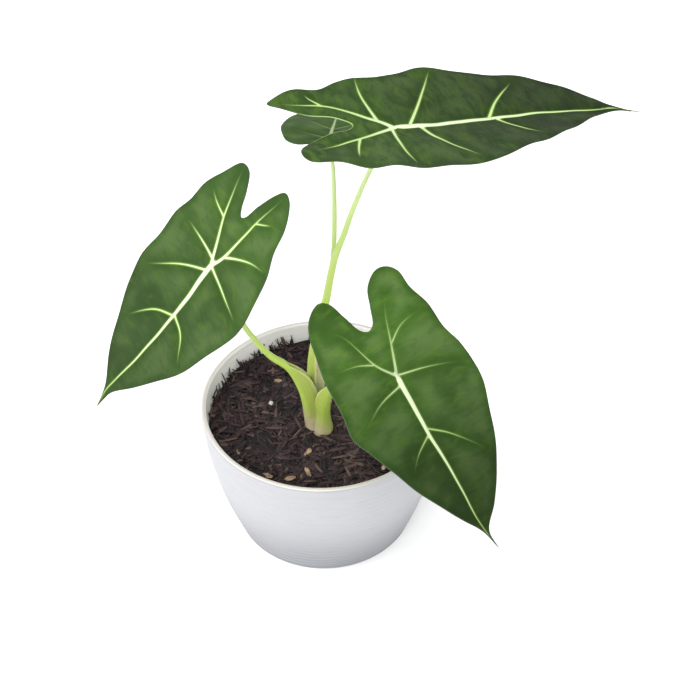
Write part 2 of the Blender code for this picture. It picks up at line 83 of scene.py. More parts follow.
# One entry for each leaf.
# length, half_width: the blade's, in metres.
# heading, dip, bank: how the blade is turned, in degrees.
# wave: the margin's rise and fall, in millimetres.
# shades, painted light and shade: how much lighter or darker the lobes and the tip are painted.
# fade: where along a side vein its fading starts.
# mottle, contrast, pale_rim: how patchy the green, how strong the veins and how light the
#   notch's edge are.
# foot: the stem's swollen base, as (x, y, z, radius) in millimetres from the crown.
# route, radii: the stem's centre line from there to the blade, and the radius at each point.
# sheath: how far up the stem its open base reaches and how far its thin edges stand out.
# opens, lining: the heading the open base faces, and how pale it is within.
# outline: from the tip round the blade's left side, in hundredths of the length along the
#   midrib and of the half width to the left.
# veins: (half width at the start and at the end in millimetres, points in the outline's
#   hundredths), the midrib first.
LEAVES = {
    "left": {
        "length": 89.0 * MM, "half_width": 39.0 * MM,
        "heading": -156.0, "dip": 44.0, "bank": 8.0, "wave": 0.15,
        "painted_shades": (0.78, 0.52), "fade": 0.45, "mottle": 0.5,
        "contrast": 1.0, "pale_rim": 0.0,
        "foot": [(-1.7, -1.2, -2.0, 4.6), (-2.2, -1.7, 3.5, 4.9)],
        "route": [(-4.0, -2.4, 12.0), (-5.2, -3.2, 22.0), (-7.4, -3.9, 32.0), (-13.2, -5.0, 46.0),
                  (-22.0, -7.0, 56.0), (-28.9, -9.5, 69.0), (-33.2, -11.5, 79.5),
                  (-38.8, -16.5, 102.0), (-42.8, -22.5, 128.1)],
        "radii": [3.6, 3.1, 2.7, 2.1, 1.6, 1.4, 1.3, 1.25, 1.2],
        "sheath": (56.0, 4.2), "opens": 24.0, "lining": 0.0,
        "outline": [(101, -3), (95, -1), (90, 2), (77, 26), (64, 49), (47, 75), (33, 85),
                    (13, 99), (-3, 91), (-16, 79), (-26, 63), (-38, 50), (-48, 27), (-49, 12),
                    (-44, 3), (-34, -4), (-26, -7), (-24, -12), (-27, -20), (-35, -31),
                    (-42, -46), (-42, -62), (-31, -74), (-20, -84), (-9, -84), (1, -89),
                    (16, -86), (30, -88), (42, -79), (61, -57), (78, -34), (89, -12), (94, -7)],
        "veins": [
            (1.50, 0.12, [(1, 0), (34, 5), (70, 0), (90, -6), (100, -3)]),
            (0.80, 0.12, [(3, -2), (-6, -15), (-17, -32), (-40, -55)]),
            (0.45, 0.10, [(-17, -32), (-19, -54), (-22, -68)]),
            (0.90, 0.12, [(3, 1), (-4, 7), (-28, 10), (-46, 17)]),
            (0.35, 0.10, [(-28, 11), (-34, 33)]),
            (0.60, 0.10, [(-4.5, 8), (-9, 23), (-14, 45), (-17, 70)]),
            (0.60, 0.10, [(1, -3), (-1, -38), (-2, -66)]),
            (0.55, 0.10, [(7, -1), (15, -32), (30, -72)]),
            (0.55, 0.10, [(4, 6), (7, 47), (10, 86)]),
            (0.50, 0.10, [(36, 3), (42, -23), (55, -47)]),
            (0.50, 0.10, [(35, 6), (38, 32), (48, 60)]),
        ],
    },
    "tall": {
        "length": 119.0 * MM, "half_width": 46.0 * MM,
        "heading": 19.0, "dip": 6.5, "bank": 6.0, "wave": 0.35,
        "painted_shades": (0.68, 0.25), "fade": 0.65, "mottle": 1.0,
        "contrast": 0.9, "pale_rim": 1.0,
        "foot": [(-0.2, 1.5, -1.0, 3.6), (-0.4, 2.4, 6.0, 3.6)],
        "route": [(-1.6, 2.9, 16.0), (-2.0, 3.3, 35.0), (-0.8, 3.9, 52.0), (4.5, 4.5, 79.5),
                  (9.1, 5.5, 104.8), (13.7, 6.0, 119.3), (17.7, 6.5, 132.6), (25.7, 7.0, 154.6),
                  (35.4, 7.5, 176.3)],
        "radii": [3.5, 3.4, 2.8, 1.9, 1.6, 1.4, 1.25, 1.1, 1.1],
        "sheath": (66.0, 2.6), "opens": -40.0, "lining": 1.0,
        "outline": [(101, -4), (90, 10), (86, 25), (77, 46), (68, 65), (58, 75), (43, 83),
                    (32, 99), (24, 101), (13, 94), (6, 90), (-3, 95), (-11, 87), (-18, 80),
                    (-27, 84), (-36, 75), (-40, 65), (-36, 52), (-28, 37), (-19, 25), (-14, 13),
                    (-16, 6), (-24, 0), (-33, -11), (-39, -29), (-38, -48), (-29, -60),
                    (-20, -78), (-11, -81), (-1, -91), (16, -94), (25, -91), (36, -75), (55, -53),
                    (71, -28), (87, -3)],
        "veins": [
            (1.95, 0.12, [(-1, 0), (13, -3), (37, 0), (67, 4), (89, 4), (100, -4)]),
            (1.15, 0.18, [(0, 1), (-5, 17), (-21, 50), (-36, 60)]),
            (0.60, 0.12, [(-21, 50), (-25, 72)]),
            (1.10, 0.15, [(0, -1), (-15, -15), (-24, -22), (-33, -29)]),
            (0.65, 0.12, [(-15, -15), (-18, -33), (-21, -56)]),
            (0.75, 0.22, [(-4, 15), (-4, 62), (-2, 94)]),
            (0.75, 0.22, [(6, -1), (16, 39), (28, 92)]),
            (0.75, 0.12, [(38, 1), (46, 30), (57, 60)]),
            (0.70, 0.18, [(-1, -4), (-3, -48), (-3, -80)]),
            (0.80, 0.12, [(10, -4), (13, -36), (21, -80)]),
            (0.65, 0.12, [(41, 0), (46, -22), (52, -42)]),
        ],
    },
    "front": {
        "length": 88.0 * MM, "half_width": 37.0 * MM,
        "heading": -50.0, "dip": 38.0, "bank": 3.0, "wave": 0.15,
        "painted_shades": (1.05, 0.31), "fade": 0.1, "mottle": 0.5,
        "contrast": 0.54, "pale_rim": 0.15,
        "foot": [(1.0, -2.3, -3.5, 4.6), (1.2, -2.7, 2.5, 5.8), (1.8, -3.7, 9.0, 4.3)],
        "route": [(2.3, -4.9, 15.0), (3.0, -6.6, 25.0), (5.5, -9.0, 35.0), (10.1, -14.5, 46.6),
                  (16.7, -24.5, 61.3), (25.7, -38.5, 77.0), (32.0, -51.0, 88.0),
                  (35.7, -59.5, 93.4)],
        "radii": [3.4, 3.3, 3.1, 2.6, 2.0, 1.6, 1.4, 1.4],
        "sheath": (46.0, 2.2), "opens": 130.0, "lining": 0.3,
        "outline": [(100, 6), (90, 5), (80, 29), (66, 54), (56, 69), (42, 83), (25, 98),
                    (13, 100), (3, 97), (-8, 89), (-22, 87), (-34, 78), (-44, 76), (-49, 65),
                    (-50, 50), (-44, 28), (-35, 17), (-27, 8), (-25, -2), (-28, -13), (-37, -21),
                    (-46, -29), (-49, -42), (-45, -63), (-37, -77), (-26, -85), (-13, -92),
                    (5, -95), (17, -99), (27, -88), (40, -74), (53, -60), (70, -35), (79, -20),
                    (89, -3)],
        "veins": [
            (1.45, 0.12, [(-1, 0), (31, -3), (56, -1), (86, -1), (99, 5)]),
            (0.70, 0.10, [(0, 1), (-14, 16), (-31, 33), (-37, 42)]),
            (0.40, 0.10, [(-14, 16), (-20, 41), (-22, 72)]),
            (0.60, 0.10, [(0, -2), (-9, -19), (-29, -39), (-34, -54)]),
            (0.40, 0.10, [(-9, -19), (-13, -42), (-15, -72)]),
            (0.45, 0.10, [(1, 3), (5, 43), (11, 84)]),
            (0.45, 0.10, [(6, -4), (9, -41), (16, -78)]),
            (0.40, 0.10, [(31, 0), (38, 21), (55, 55)]),
            (0.40, 0.10, [(34, -4), (40, -32), (46, -50)]),
        ],
    },
    "back": {
        "length": 58.0 * MM, "half_width": 24.0 * MM,
        "heading": 83.0, "dip": 13.0, "bank": 0.0, "wave": 0.2,
        "painted_shades": (0.9, 0.8), "fade": 0.2, "mottle": 0.6,
        "contrast": 0.32, "pale_rim": 0.0,
        "foot": [(1.4, 2.6, -1.0, 2.6), (2.2, 4.6, 8.0, 2.4)],
        "route": [(3.2, 7.2, 20.0), (2.4, 8.0, 40.0), (2.6, 8.3, 65.0), (5.6, 9.5, 82.3),
                  (8.0, 12.5, 96.9), (9.1, 16.5, 113.9), (8.9, 27.5, 138.7), (7.4, 37.5, 148.8)],
        "radii": [1.9, 1.6, 1.4, 1.3, 1.2, 1.15, 1.0, 1.0],
        "sheath": (30.0, 0.8), "opens": -97.0, "lining": 0.0,
        "outline": [(100, 0), (87, 11), (72, 42), (55, 71), (38, 93), (20, 100), (3, 92),
                    (-10, 78), (-16, 56), (-14, 35), (-9, 13), (-8, -2), (-12, -20), (-18, -42),
                    (-18, -62), (-9, -84), (5, -96), (21, -100), (38, -90), (55, -68), (72, -38),
                    (87, -9)],
        "veins": [
            (1.00, 0.10, [(-1, 0), (35, 2), (70, 2), (99, 0)]),
            (0.45, 0.10, [(0, 2), (-5, 20), (-11, 46)]),
            (0.45, 0.10, [(0, -2), (-6, -24), (-12, -52)]),
            (0.40, 0.10, [(3, 2), (8, 40), (13, 76)]),
            (0.40, 0.10, [(3, -2), (8, -40), (13, -78)]),
            (0.40, 0.10, [(24, 2), (34, 36), (44, 68)]),
            (0.40, 0.10, [(26, 0), (35, -34), (46, -64)]),
            (0.35, 0.10, [(52, 2), (60, 22), (68, 38)]),
            (0.35, 0.10, [(54, 0), (62, -20), (70, -34)]),
        ],
    },
}


# ---------------------------------------------------------------------------------------------
# Settings
# ---------------------------------------------------------------------------------------------

def size(name, value, about):
    """A length in metres."""
    return bpy.props.FloatProperty(name=name, description=about, default=value, unit="LENGTH",
                                   precision=5)


def share(name, value, about):
    """A plain number."""
    return bpy.props.FloatProperty(name=name, description=about, default=value, precision=3)


def count(name, value, about):
    """A whole number."""
    return bpy.props.IntProperty(name=name, description=about, default=value, min=0)


def colour(name, value, about):
    """A linear colour."""
    return bpy.props.FloatVectorProperty(name=name, description=about, default=value, size=3,
                                         subtype="COLOR", min=0.0, max=1.0)


class PotSettings(bpy.types.PropertyGroup):
    """The pot."""
    height: size("Height", POT_HIGH.z - POT_LOW.z, "Height from the surface to the lip")
    rim_radius: size("Rim radius", (POT_HIGH.x - POT_LOW.x) / 2, "Outer radius at the lip")
    base_radius: size("Base radius", 45.0 * MM, "Outer radius of the flat underside")
    wall: size("Wall", 2.4 * MM, "Thickness of the wall")
    floor: size("Floor", 4.0 * MM, "Thickness of the floor")
    bulge: share("Bulge", 1.9, "How soon the wall reaches its full width")
    ridge_gap: size("Ridge gap", 3.3 * MM, "Distance between turned ridges")
    ridge_depth: size("Ridge depth", 0.15 * MM, "Depth of the turned ridges")
    segments: count("Segments", 168, "Number of sides of the turned mesh")
    glaze: colour("Glaze", (0.350, 0.355, 0.378), "White glaze")
    glaze_cloud: colour("Glaze clouds", (0.41, 0.41, 0.425), "Where the glaze is thicker")
    ring_dust: colour("Ring dust", (0.325, 0.315, 0.305), "Dust along the turned rings")
    speck: colour("Specks", (0.45, 0.42, 0.38), "Small specks in the glaze")
    # Painted shade: the outer wall darkens with this colour towards the floor.
    foot: colour("Low wall", (0.165, 0.17, 0.19), "Duller glaze towards the foot")
    band: colour("Band", (0.40, 0.335, 0.265), "Thin worn line under the lip")
    # Painted light: the inner wall takes a far lighter colour than the outer glaze, standing in
    # for the light that reaches it.
    inner: colour("Inner wall", (0.96, 0.945, 0.93), "Lighter inner wall")
    inner_painted_light_cloud: colour("Inner clouds", (0.93, 0.915, 0.90), "Duller parts of the inner wall")
    lip_clay: colour("Lip", (0.60, 0.55, 0.49), "Cream body showing at the lip")
    stain: colour("Stain", (0.42, 0.38, 0.34), "Dust on the inner wall above the mix")


class MixSettings(bpy.types.PropertyGroup):
    """The potting mix."""
    shreds: count("Shreds", 2500, "Number of long bark shreds")
    shred_length: size("Shred length", 13.5 * MM, "Length of a shred")
    shred_width: size("Shred width", 0.92 * MM, "Half width of a shred")
    flakes: count("Flakes", 1300, "Number of short broad flakes")
    crumbs: count("Crumbs", 500, "Number of small crumbs")
    crumb_size: size("Crumb size", 0.9 * MM, "Radius of a crumb")
    strands: count("Strands", 1500, "Number of fibres that stand up by the wall")
    heap: size("Heap", 4.6 * MM, "How much higher the mix lies against the back wall")
    mound: size("Mound", 3.2 * MM, "Height of the small mound beside the corm")
    seed: count("Seed", 7, "Seed of the scatter")
    # Near black: damp mix, and painted shade in the gaps between the shreds.
    dark: colour("Dark", (0.006, 0.0034, 0.0042), "Wet dark mix")
    brown: colour("Brown", (0.037, 0.018, 0.0200), "Dry brown shreds")
    tan: colour("Tan", (0.116, 0.070, 0.055), "Lightest fibres")
    bark: colour("Bark", (0.42, 0.28, 0.18), "Bark chips")
    bark_dark: colour("Dark bark", (0.17, 0.10, 0.062), "Darker layers of the bark")
    # Painted highlight: light spots on the bark.
    painted_bark_highlight: colour("Light bark", (0.60, 0.47, 0.34), "Worn spots on the bark")
    perlite: colour("Perlite", (0.58, 0.555, 0.53), "Perlite grains")
    perlite_pit: colour("Perlite pits", (0.34, 0.31, 0.28), "Pits in the grains")
    perlite_soil: colour("Soil on perlite", (0.16, 0.12, 0.10), "Soil on the grains")


class StemSettings(bpy.types.PropertyGroup):
    """The stems and the corm."""
    top: colour("Top", (0.45, 0.55, 0.27), "Stem under the blade")
    middle: colour("Middle", (0.37, 0.50, 0.070), "Stem above the mix")
    streak: colour("Streaks", (0.55, 0.63, 0.27), "Pale streaks along the stem")
    green: colour("Patches", (0.22, 0.36, 0.05), "Greener patches")
    # Painted shade: the inside of the open base is darkened with this colour.
    shade: colour("Inner side", (0.26, 0.30, 0.030), "Inside of the open base")
    lining: colour("Lining", (0.88, 0.88, 0.60), "Pale inside of the tallest stem's base")
    # Painted shade: the darker band where the base folds inwards.
    fold: colour("Fold", (0.30, 0.34, 0.075), "Where the base folds inwards")
    edge: colour("Thin edge", (0.76, 0.70, 0.46), "Pale edge of the open base")
    foot: colour("Foot", (0.42, 0.34, 0.235), "Where the stem meets the corm")
    foot_patch: colour("Foot patches", (0.31, 0.235, 0.175), "Darker patches on the foot")
    corm: colour("Corm", (0.50, 0.37, 0.24), "Pale corm skin")
    corm_light: colour("Corm ridges", (0.66, 0.55, 0.40), "Papery ridges of the corm")
    corm_dark: colour("Corm scars", (0.15, 0.085, 0.05), "Old scars and soil on the corm")
    soil: colour("Soil", (0.05, 0.032, 0.024), "Soil low on the corm")
    root: colour("Root", (0.52, 0.42, 0.29), "Fleshy roots")
    root_dark: colour("Soil on roots", (0.16, 0.10, 0.065), "Soil on the roots")


class BladeSettings(bpy.types.PropertyGroup):
    """The leaf blades."""
    mesh_step: size("Mesh step", 0.85 * MM, "Distance between the mesh's points")
    edge_thickness: size("Edge", 0.35 * MM, "Thickness at the margin")
    thickness: size("Thickness", 0.6 * MM, "Thickness of the blade")
    keel: size("Keel", 1.6 * MM, "How far the midrib stands out below")
    fold: share("Fold", 6.8, "Rise of each half from the midrib, in degrees")
    arch_across: size("Arch across", 2.0 * MM, "Fall at the sides")
    arch_along: size("Arch along", 5.0 * MM, "Fall at the tip")
    groove: size("Groove", 0.7 * MM, "How deep the side veins lie between the puckered fields")
    valley: size("Valley", 2.2 * MM, "How far a groove spreads from its vein")
    fillet: size("Fillet", 0.9 * MM, "How softly the veins run into one another")
    pucker: size("Pucker", 0.55 * MM, "Height of the uneven swelling")
    wave_gap: size("Wave gap", 23.0 * MM, "Distance between the margin's waves")
    rung_gap: size("Rung gap", 2.3 * MM, "Distance between the faint cross lines")
    deep: colour("Deep green", (0.026, 0.066, 0.008), "Darkest green, by the veins")
    green: colour("Green", (0.044, 0.104, 0.014), "Main green")
    # Painted sheen: a greyer green laid in the middle of each field.
    painted_sheen: colour("Satin green", (0.082, 0.142, 0.041), "Greyer green in the middle of a field")
    light: colour("Light green", (0.090, 0.175, 0.018), "Yellower streaks")
    halo: colour("Halo", (0.20, 0.34, 0.06), "Light green beside the veins")
    vein: colour("Vein", (0.42, 0.58, 0.20), "Side veins")
    rib: colour("Midrib", (0.56, 0.63, 0.43), "Midrib at its widest")
    margin: colour("Margin", (0.045, 0.060, 0.045), "Thin dark margin")
    pale_rim: colour("Pale rim", (0.36, 0.47, 0.20), "Light edge of the notch")
    under: colour("Underside", (0.16, 0.24, 0.095), "Paler underside")


class StageSettings(bpy.types.PropertyGroup):
    """Floor, lights and camera."""
    floor: colour("Floor", (0.90, 0.90, 0.90), "Pale floor")
    floor_cloud: colour("Floor clouds", (0.87, 0.87, 0.87), "Faint clouds on the floor")
    ambient: share("Ambient", 0.85, "Light from all around")
    key: share("Key light", 2.0, "Soft light from the left")
    front: share("Front light", 2.1, "Soft light from the front")
    top: share("Top light", 1.0, "Soft light from above")
    reach: size("Reach", 3.0, "Half the floor's width")
    spread: share("Spread", 45.0, "Width of each light's disc, in degrees")
    lens: share("Lens", 83.2, "Focal length for a 36 mm sensor")


SETTINGS = {
    "pot": PotSettings,
    "mix": MixSettings,
    "stem": StemSettings,
    "blade": BladeSettings,
    "stage": StageSettings,
}


def settings(name):
    """The scene's settings of one kind."""
    return getattr(bpy.context.scene, f"alocasia_{name}")


# ---------------------------------------------------------------------------------------------
# Node trees
# ---------------------------------------------------------------------------------------------

class Term:
    """A number in a node tree. Its operators add Math nodes."""

    def __init__(self, maker, socket):
        self.maker = maker
        self.socket = socket

    def sine(self):
        return self.maker.maths("SINE", self)

    def clamped(self):
        """Kept between 0 and 1."""
        return self.maker.between(self, 0.0, 1.0, "LINEAR")

    def rise(self, low, high):
        """0 up to low, 1 from high on, and a smooth rise between."""
        return self.maker.between(self, low, high, "SMOOTHSTEP")

    def fall(self, low, high):
        """1 up to low, 0 from high on, and a smooth fall between."""
        return 1.0 - self.rise(low, high)


def math_operator(operation, swapped):
    """A Term's operator for one operation of the Math node."""
    def work(self, other):
        items = (other, self) if swapped else (self, other)
        return self.maker.maths(operation, *items)
    return work


for word, operation in (("add", "ADD"), ("sub", "SUBTRACT"), ("mul", "MULTIPLY"),
                        ("truediv", "DIVIDE"), ("pow", "POWER")):
    setattr(Term, f"__{word}__", math_operator(operation, False))
    setattr(Term, f"__r{word}__", math_operator(operation, True))


class Nodes:
    """Adds nodes and links to a tree."""

    def __init__(self, tree):
        self.tree = tree

    def plug(self, socket, value):
        """Link a term or a socket to an input, or set the input to a plain value."""
        if isinstance(value, Term):
            value = value.socket
        if isinstance(value, bpy.types.NodeSocket):
            self.tree.links.new(value, socket)
        elif socket.type == "RGBA":
            socket.default_value = (*value, 1.0)
        else:
            socket.default_value = value

    def node(self, kind, options=None, inputs=None, out=0):
        """Add a node with its settings and its inputs' values or links, and give its output."""
        made = self.tree.nodes.new(kind)
        for key, value in (options or {}).items():
            setattr(made, key, value)
        for key, value in (inputs or {}).items():
            self.plug(made.inputs[key], value)
        return made.outputs[out]

    def number(self, *wanted, **more):
        """A node's output as a term."""
        return Term(self, self.node(*wanted, **more))

    def maths(self, operation, *items):
        return self.number("ShaderNodeMath", {"operation": operation}, dict(enumerate(items)))

    def between(self, value, low, high, kind):
        """Map low to 0 and high to 1, and hold the ends."""
        return self.number("ShaderNodeMapRange", {"interpolation_type": kind},
                           {"Value": value, "From Min": low, "From Max": high})

    def part(self, vector, axis):
        """One axis of a vector."""
        return self.number("ShaderNodeSeparateXYZ", None, {0: vector}, axis)

    def vector(self, x, y, z):
        return self.node("ShaderNodeCombineXYZ", None, {0: x, 1: y, 2: z})

    def vectors(self, operation, first, second):
        """Vector maths. SCALE takes a number in second place."""
        key = "Scale" if operation == "SCALE" else 1
        return self.node("ShaderNodeVectorMath", {"operation": operation},
                         {0: first, key: second})


# ---------------------------------------------------------------------------------------------
# Materials
# ---------------------------------------------------------------------------------------------

class Finish(Nodes):
    """A material with one Principled shader."""

    def __init__(self, name):
        self.material = bpy.data.materials.new(name)
        self.material.use_nodes = True
        super().__init__(self.material.node_tree)

    def blend(self, factor, first, second, kind="MIX"):
        """Mix two colours."""
        return self.node("ShaderNodeMix", {"data_type": "RGBA", "blend_type": kind},
                         {0: factor, 6: first, 7: second}, 2)

    def coats(self, body, *coats):
        """Lay colours over a first one, each by its own amount."""
        for amount, paint in coats:
            body = self.blend(amount, body, paint)
        return body

    def attribute(self, name):
        """A number that the mesh carries."""
        return self.number("ShaderNodeAttribute", {"attribute_name": name}, out="Fac")

    def stretched(self, source, scale):
        return self.node("ShaderNodeMapping", None, {"Vector": source, "Scale": scale})

    def place(self, scale=(1.0, 1.0, 1.0)):
        """Object coordinates, stretched."""
        return self.stretched(self.node("ShaderNodeTexCoord", out="Object"), scale)

    def sheet(self, name, scale=(1.0, 1.0, 1.0)):
        """A UV map's coordinates, stretched."""
        return self.stretched(self.node("ShaderNodeUVMap", {"uv_map": name}), scale)

    def grain(self, vector, scale, detail=3.0, roughness=0.55, distortion=0.0):
        """Noise from about 0 to 1."""
        return self.number("ShaderNodeTexNoise", None,
                           {"Vector": vector, "Scale": scale, "Detail": detail,
                            "Roughness": roughness, "Distortion": distortion})

    def cells(self, vector, scale):
        """Distance to the nearest of scattered points."""
        return self.number("ShaderNodeTexVoronoi", None, {"Vector": vector, "Scale": scale},
                           "Distance")

    def bumps(self, *bumps):
        """Bumps over one another, each a height, its reach in metres and its strength."""
        inputs = {}
        for height, reach, strength in bumps:
            inputs.update({"Height": height, "Distance": reach, "Strength": strength})
            inputs["Normal"] = self.node("ShaderNodeBump", None, inputs)
        return inputs["Normal"]

    def finished(self, **values):
        """Set the shader's inputs, with _ for a space in their names."""
        shader = self.tree.nodes["Principled BSDF"]
        for key, value in values.items():
            self.plug(shader.inputs[key.replace("_", " ")], value)
        return self.material


def blade_finish(s):
    """Satin leaf: pale veins, deeper green beside them, a greyer painted sheen in the fields,
    painted light and shade from the lobes to the tip, and a thin margin.
    """
    f = Finish("leaf_satin_green")
    gap = f.attribute("vein_gap")
    tone = f.attribute("vein_tone")
    margin_gap = f.attribute("margin_gap")
    mottle = f.attribute("mottle")
    leaf = f.sheet("Leaf")
    fields = f.grain(leaf, 8.0, 2.5, 0.5)
    streaks = f.grain(f.sheet("Leaf", (2.6, 1.0, 1.0)), 16.0, 4.0, 0.62, 0.5)
    ripple = f.grain(f.sheet("Leaf", (1.8, 1.0, 1.0)), 22.0, 3.0, 0.6, 0.4)
    fine = f.grain(leaf, 420.0, 3.0, 0.6)
    per_millimetre = math.tau / (s.rung_gap / MM)
    rungs = (f.attribute("rungs") * per_millimetre + fields * 5.0 + streaks * 3.0).sine()
    # The middle of each field, away from the veins and the margin, where the painted sheen goes.
    middle = gap.rise(0.8, 8.5) * margin_gap.rise(0.5, 5.0)
    line = gap.fall(-0.22, 0.06) * tone
    rib = f.attribute("rib_gap").fall(-0.30, 0.02) * f.attribute("rib_tone")
    upper = f.coats(
        f.blend(fields.rise(0.30, 0.70), s.deep, s.green),
        # Painted sheen in the middle of the fields.
        (middle * fields.rise(0.25, 0.60) * 0.85, s.painted_sheen),
        (streaks.rise(0.48, 0.68) * mottle * 0.65, s.light),
        (streaks.fall(0.34, 0.50) * mottle * 0.75, s.deep),
        (rungs.rise(0.3, 1.0) * middle * streaks.rise(0.45, 0.65) * 0.05, s.halo),
        (fine.rise(0.35, 0.8) * 0.20, s.deep))
    body = f.coats(
        # Painted light and shade: the shade attribute makes the green lighter or darker from the
        # lobes to the tip.
        f.blend(1.0, upper, f.attribute("shade"), "MULTIPLY"),
        (f.attribute("under"), f.blend(streaks.rise(0.3, 0.8) * 0.4, s.under, s.green)),
        (gap.fall(-0.1, 0.75) * tone * 0.45, s.halo),
        (line, f.blend(f.attribute("heart"), s.vein, s.rib)),
        (rib, s.rib),
        (margin_gap.fall(0.12, 0.45) * 0.7,
         f.blend(f.attribute("pale_rim"), s.margin, s.pale_rim)))
    normal = f.bumps((ripple, 0.9 * MM, 0.35), (rungs, 0.04 * MM, 0.3), (fine, 0.12 * MM, 0.5))
    return f.finished(Base_Color=body, Roughness=0.48 + 0.12 * fields + 0.10 * line,
                      Normal=normal, Specular_IOR_Level=0.10)


def stem_finish(s):
    """Smooth, softly glossy stem: pale at the corm, yellow-green above, with long fine streaks,
    and painted shade inside the open base and along its fold.
    """
    f = Finish("stem_yellow_green")
    height = f.attribute("height")
    streaks = f.grain(f.sheet("Stem", (46.0, 1.4, 1.0)), 3.0, 4.0, 0.6)
    patches = f.grain(f.place(), 260.0)
    aside = (f.part(f.place(), 0) - CROWN.x) * (0.9 / MM)
    foot = (height + aside + (patches - 0.5) * 6.0 + (streaks - 0.5) * 12.0).fall(1.0, 19.0)
    body = f.coats(
        f.blend(f.attribute("along").rise(0.35, 1.0), s.middle, s.top),
        (streaks.rise(0.45, 0.75) * 0.45, s.streak),
        (patches.rise(0.5, 0.8) * 0.25, s.green),
        # Painted shade inside the open base.
        (f.attribute("inner") * 0.75, s.shade),
        (f.attribute("lining") * 0.95, s.lining),
        # Painted shade along the fold.
        (f.attribute("fold") * 0.55, s.fold),
        (f.attribute("edge") * 0.85, s.edge),
        (foot, f.blend(patches.rise(0.45, 0.65) * 0.6, s.foot, s.foot_patch)),
        (height.fall(-1.0, 6.0) * patches.rise(0.32, 0.62) * 0.8, s.corm_dark))
    return f.finished(Base_Color=body, Roughness=0.36 + 0.16 * patches,
                      Normal=f.bumps((streaks, 0.25 * MM, 0.5)), Specular_IOR_Level=0.5,
                      Subsurface_Weight=0.12, Subsurface_Radius=(0.002, 0.003, 0.001),
                      Subsurface_Scale=1.0)


def corm_finish(s):
    """Dry papery skin with scar rings and soil in the hollows."""
    f = Finish("corm_papery_skin")
    rings = f.grain(f.place((0.25, 0.25, 1.0)), 520.0, 3.0, 0.6)
    dirt = f.grain(f.place(), 230.0, 4.0, 0.65)
    body = f.coats(
        f.blend(rings.rise(0.42, 0.70), s.corm, s.corm_light),
        (dirt.rise(0.50, 0.72) * 0.7, s.corm_dark),
        (f.attribute("height").fall(-1.0, 5.0) * dirt.rise(0.25, 0.6), s.soil))
    return f.finished(Base_Color=body, Roughness=0.55 + 0.3 * dirt,
                      Normal=f.bumps((rings, 0.4 * MM, 0.6), (dirt, 0.3 * MM, 0.5)),
                      Subsurface_Weight=0.08, Subsurface_Radius=(0.003, 0.002, 0.001),
                      Subsurface_Scale=1.0)


def root_finish(s):
    """Fleshy pale root with soil on it."""
    f = Finish("root_fleshy")
    grain = f.grain(f.place((1.0, 1.0, 0.4)), 320.0, 4.0, 0.6)
    return f.finished(Base_Color=f.blend(grain.rise(0.40, 0.70), s.root, s.root_dark),
                      Roughness=0.6 + 0.3 * grain, Normal=f.bumps((grain, 0.4 * MM, 0.6)))


def mix_finish(s, name, tinted):
    """Damp dark mix. When tinted, each shred takes its own shade; untinted, it stays near the dark
    colour, which stands for damp mix and for painted shade in the gaps between shreds.
    """
    f = Finish(name)
    grain = f.grain(f.place(), 900.0, 4.0, 0.65)
    if tinted:
        shade = f.attribute("tint")
    else:
        # Untinted, the bed stays near the dark colour: damp mix, and painted shade in the gaps
        # between the shreds.
        shade = f.grain(f.place(), 140.0, 3.0, 0.6).rise(0.35, 0.7) * 0.3
    body = f.coats(
        f.blend((shade * 1.15).rise(0.10, 0.80), s.dark, s.brown),
        ((shade + grain * 0.25).rise(0.92, 1.16), s.tan),
        (grain.rise(0.45, 0.8) * 0.5, s.dark))
    return f.finished(Base_Color=body, Roughness=0.50 + 0.35 * grain,
                      Normal=f.bumps((grain, 0.3 * MM, 0.7)), Specular_IOR_Level=0.38)


def bark_finish(s):
    """Tan bark chip with darker layers and spots of painted highlight."""
    f = Finish("bark_tan")
    layers = f.grain(f.place((0.5, 0.5, 1.6)), 700.0, 4.0, 0.6, 0.6)
    spots = f.grain(f.place(), 380.0, 3.0, 0.6)
    body = f.coats(
        f.blend(layers.rise(0.35, 0.68), s.bark_dark, s.bark),
        # Painted highlight spots.
        (spots.rise(0.55, 0.75) * 0.7, s.painted_bark_highlight))
    return f.finished(Base_Color=body, Roughness=0.7 + 0.2 * spots,
                      Normal=f.bumps((layers, 0.5 * MM, 0.8)))


def perlite_finish(s):
    """White porous grain with soil on it, darker in its pits."""
    f = Finish("perlite_white")
    pits = f.cells(f.place(), 1500.0)
    dirt = f.grain(f.place(), 600.0, 3.0, 0.6)
    body = f.coats(
        f.blend(dirt.rise(0.50, 0.75) * 0.8, s.perlite, s.perlite_soil),
        (pits.fall(0.05, 0.35) * 0.7, s.perlite_pit))
    return f.finished(Base_Color=body, Roughness=0.8 + 0.1 * dirt,
                      Normal=f.bumps((pits, 0.4 * MM, 0.8)))


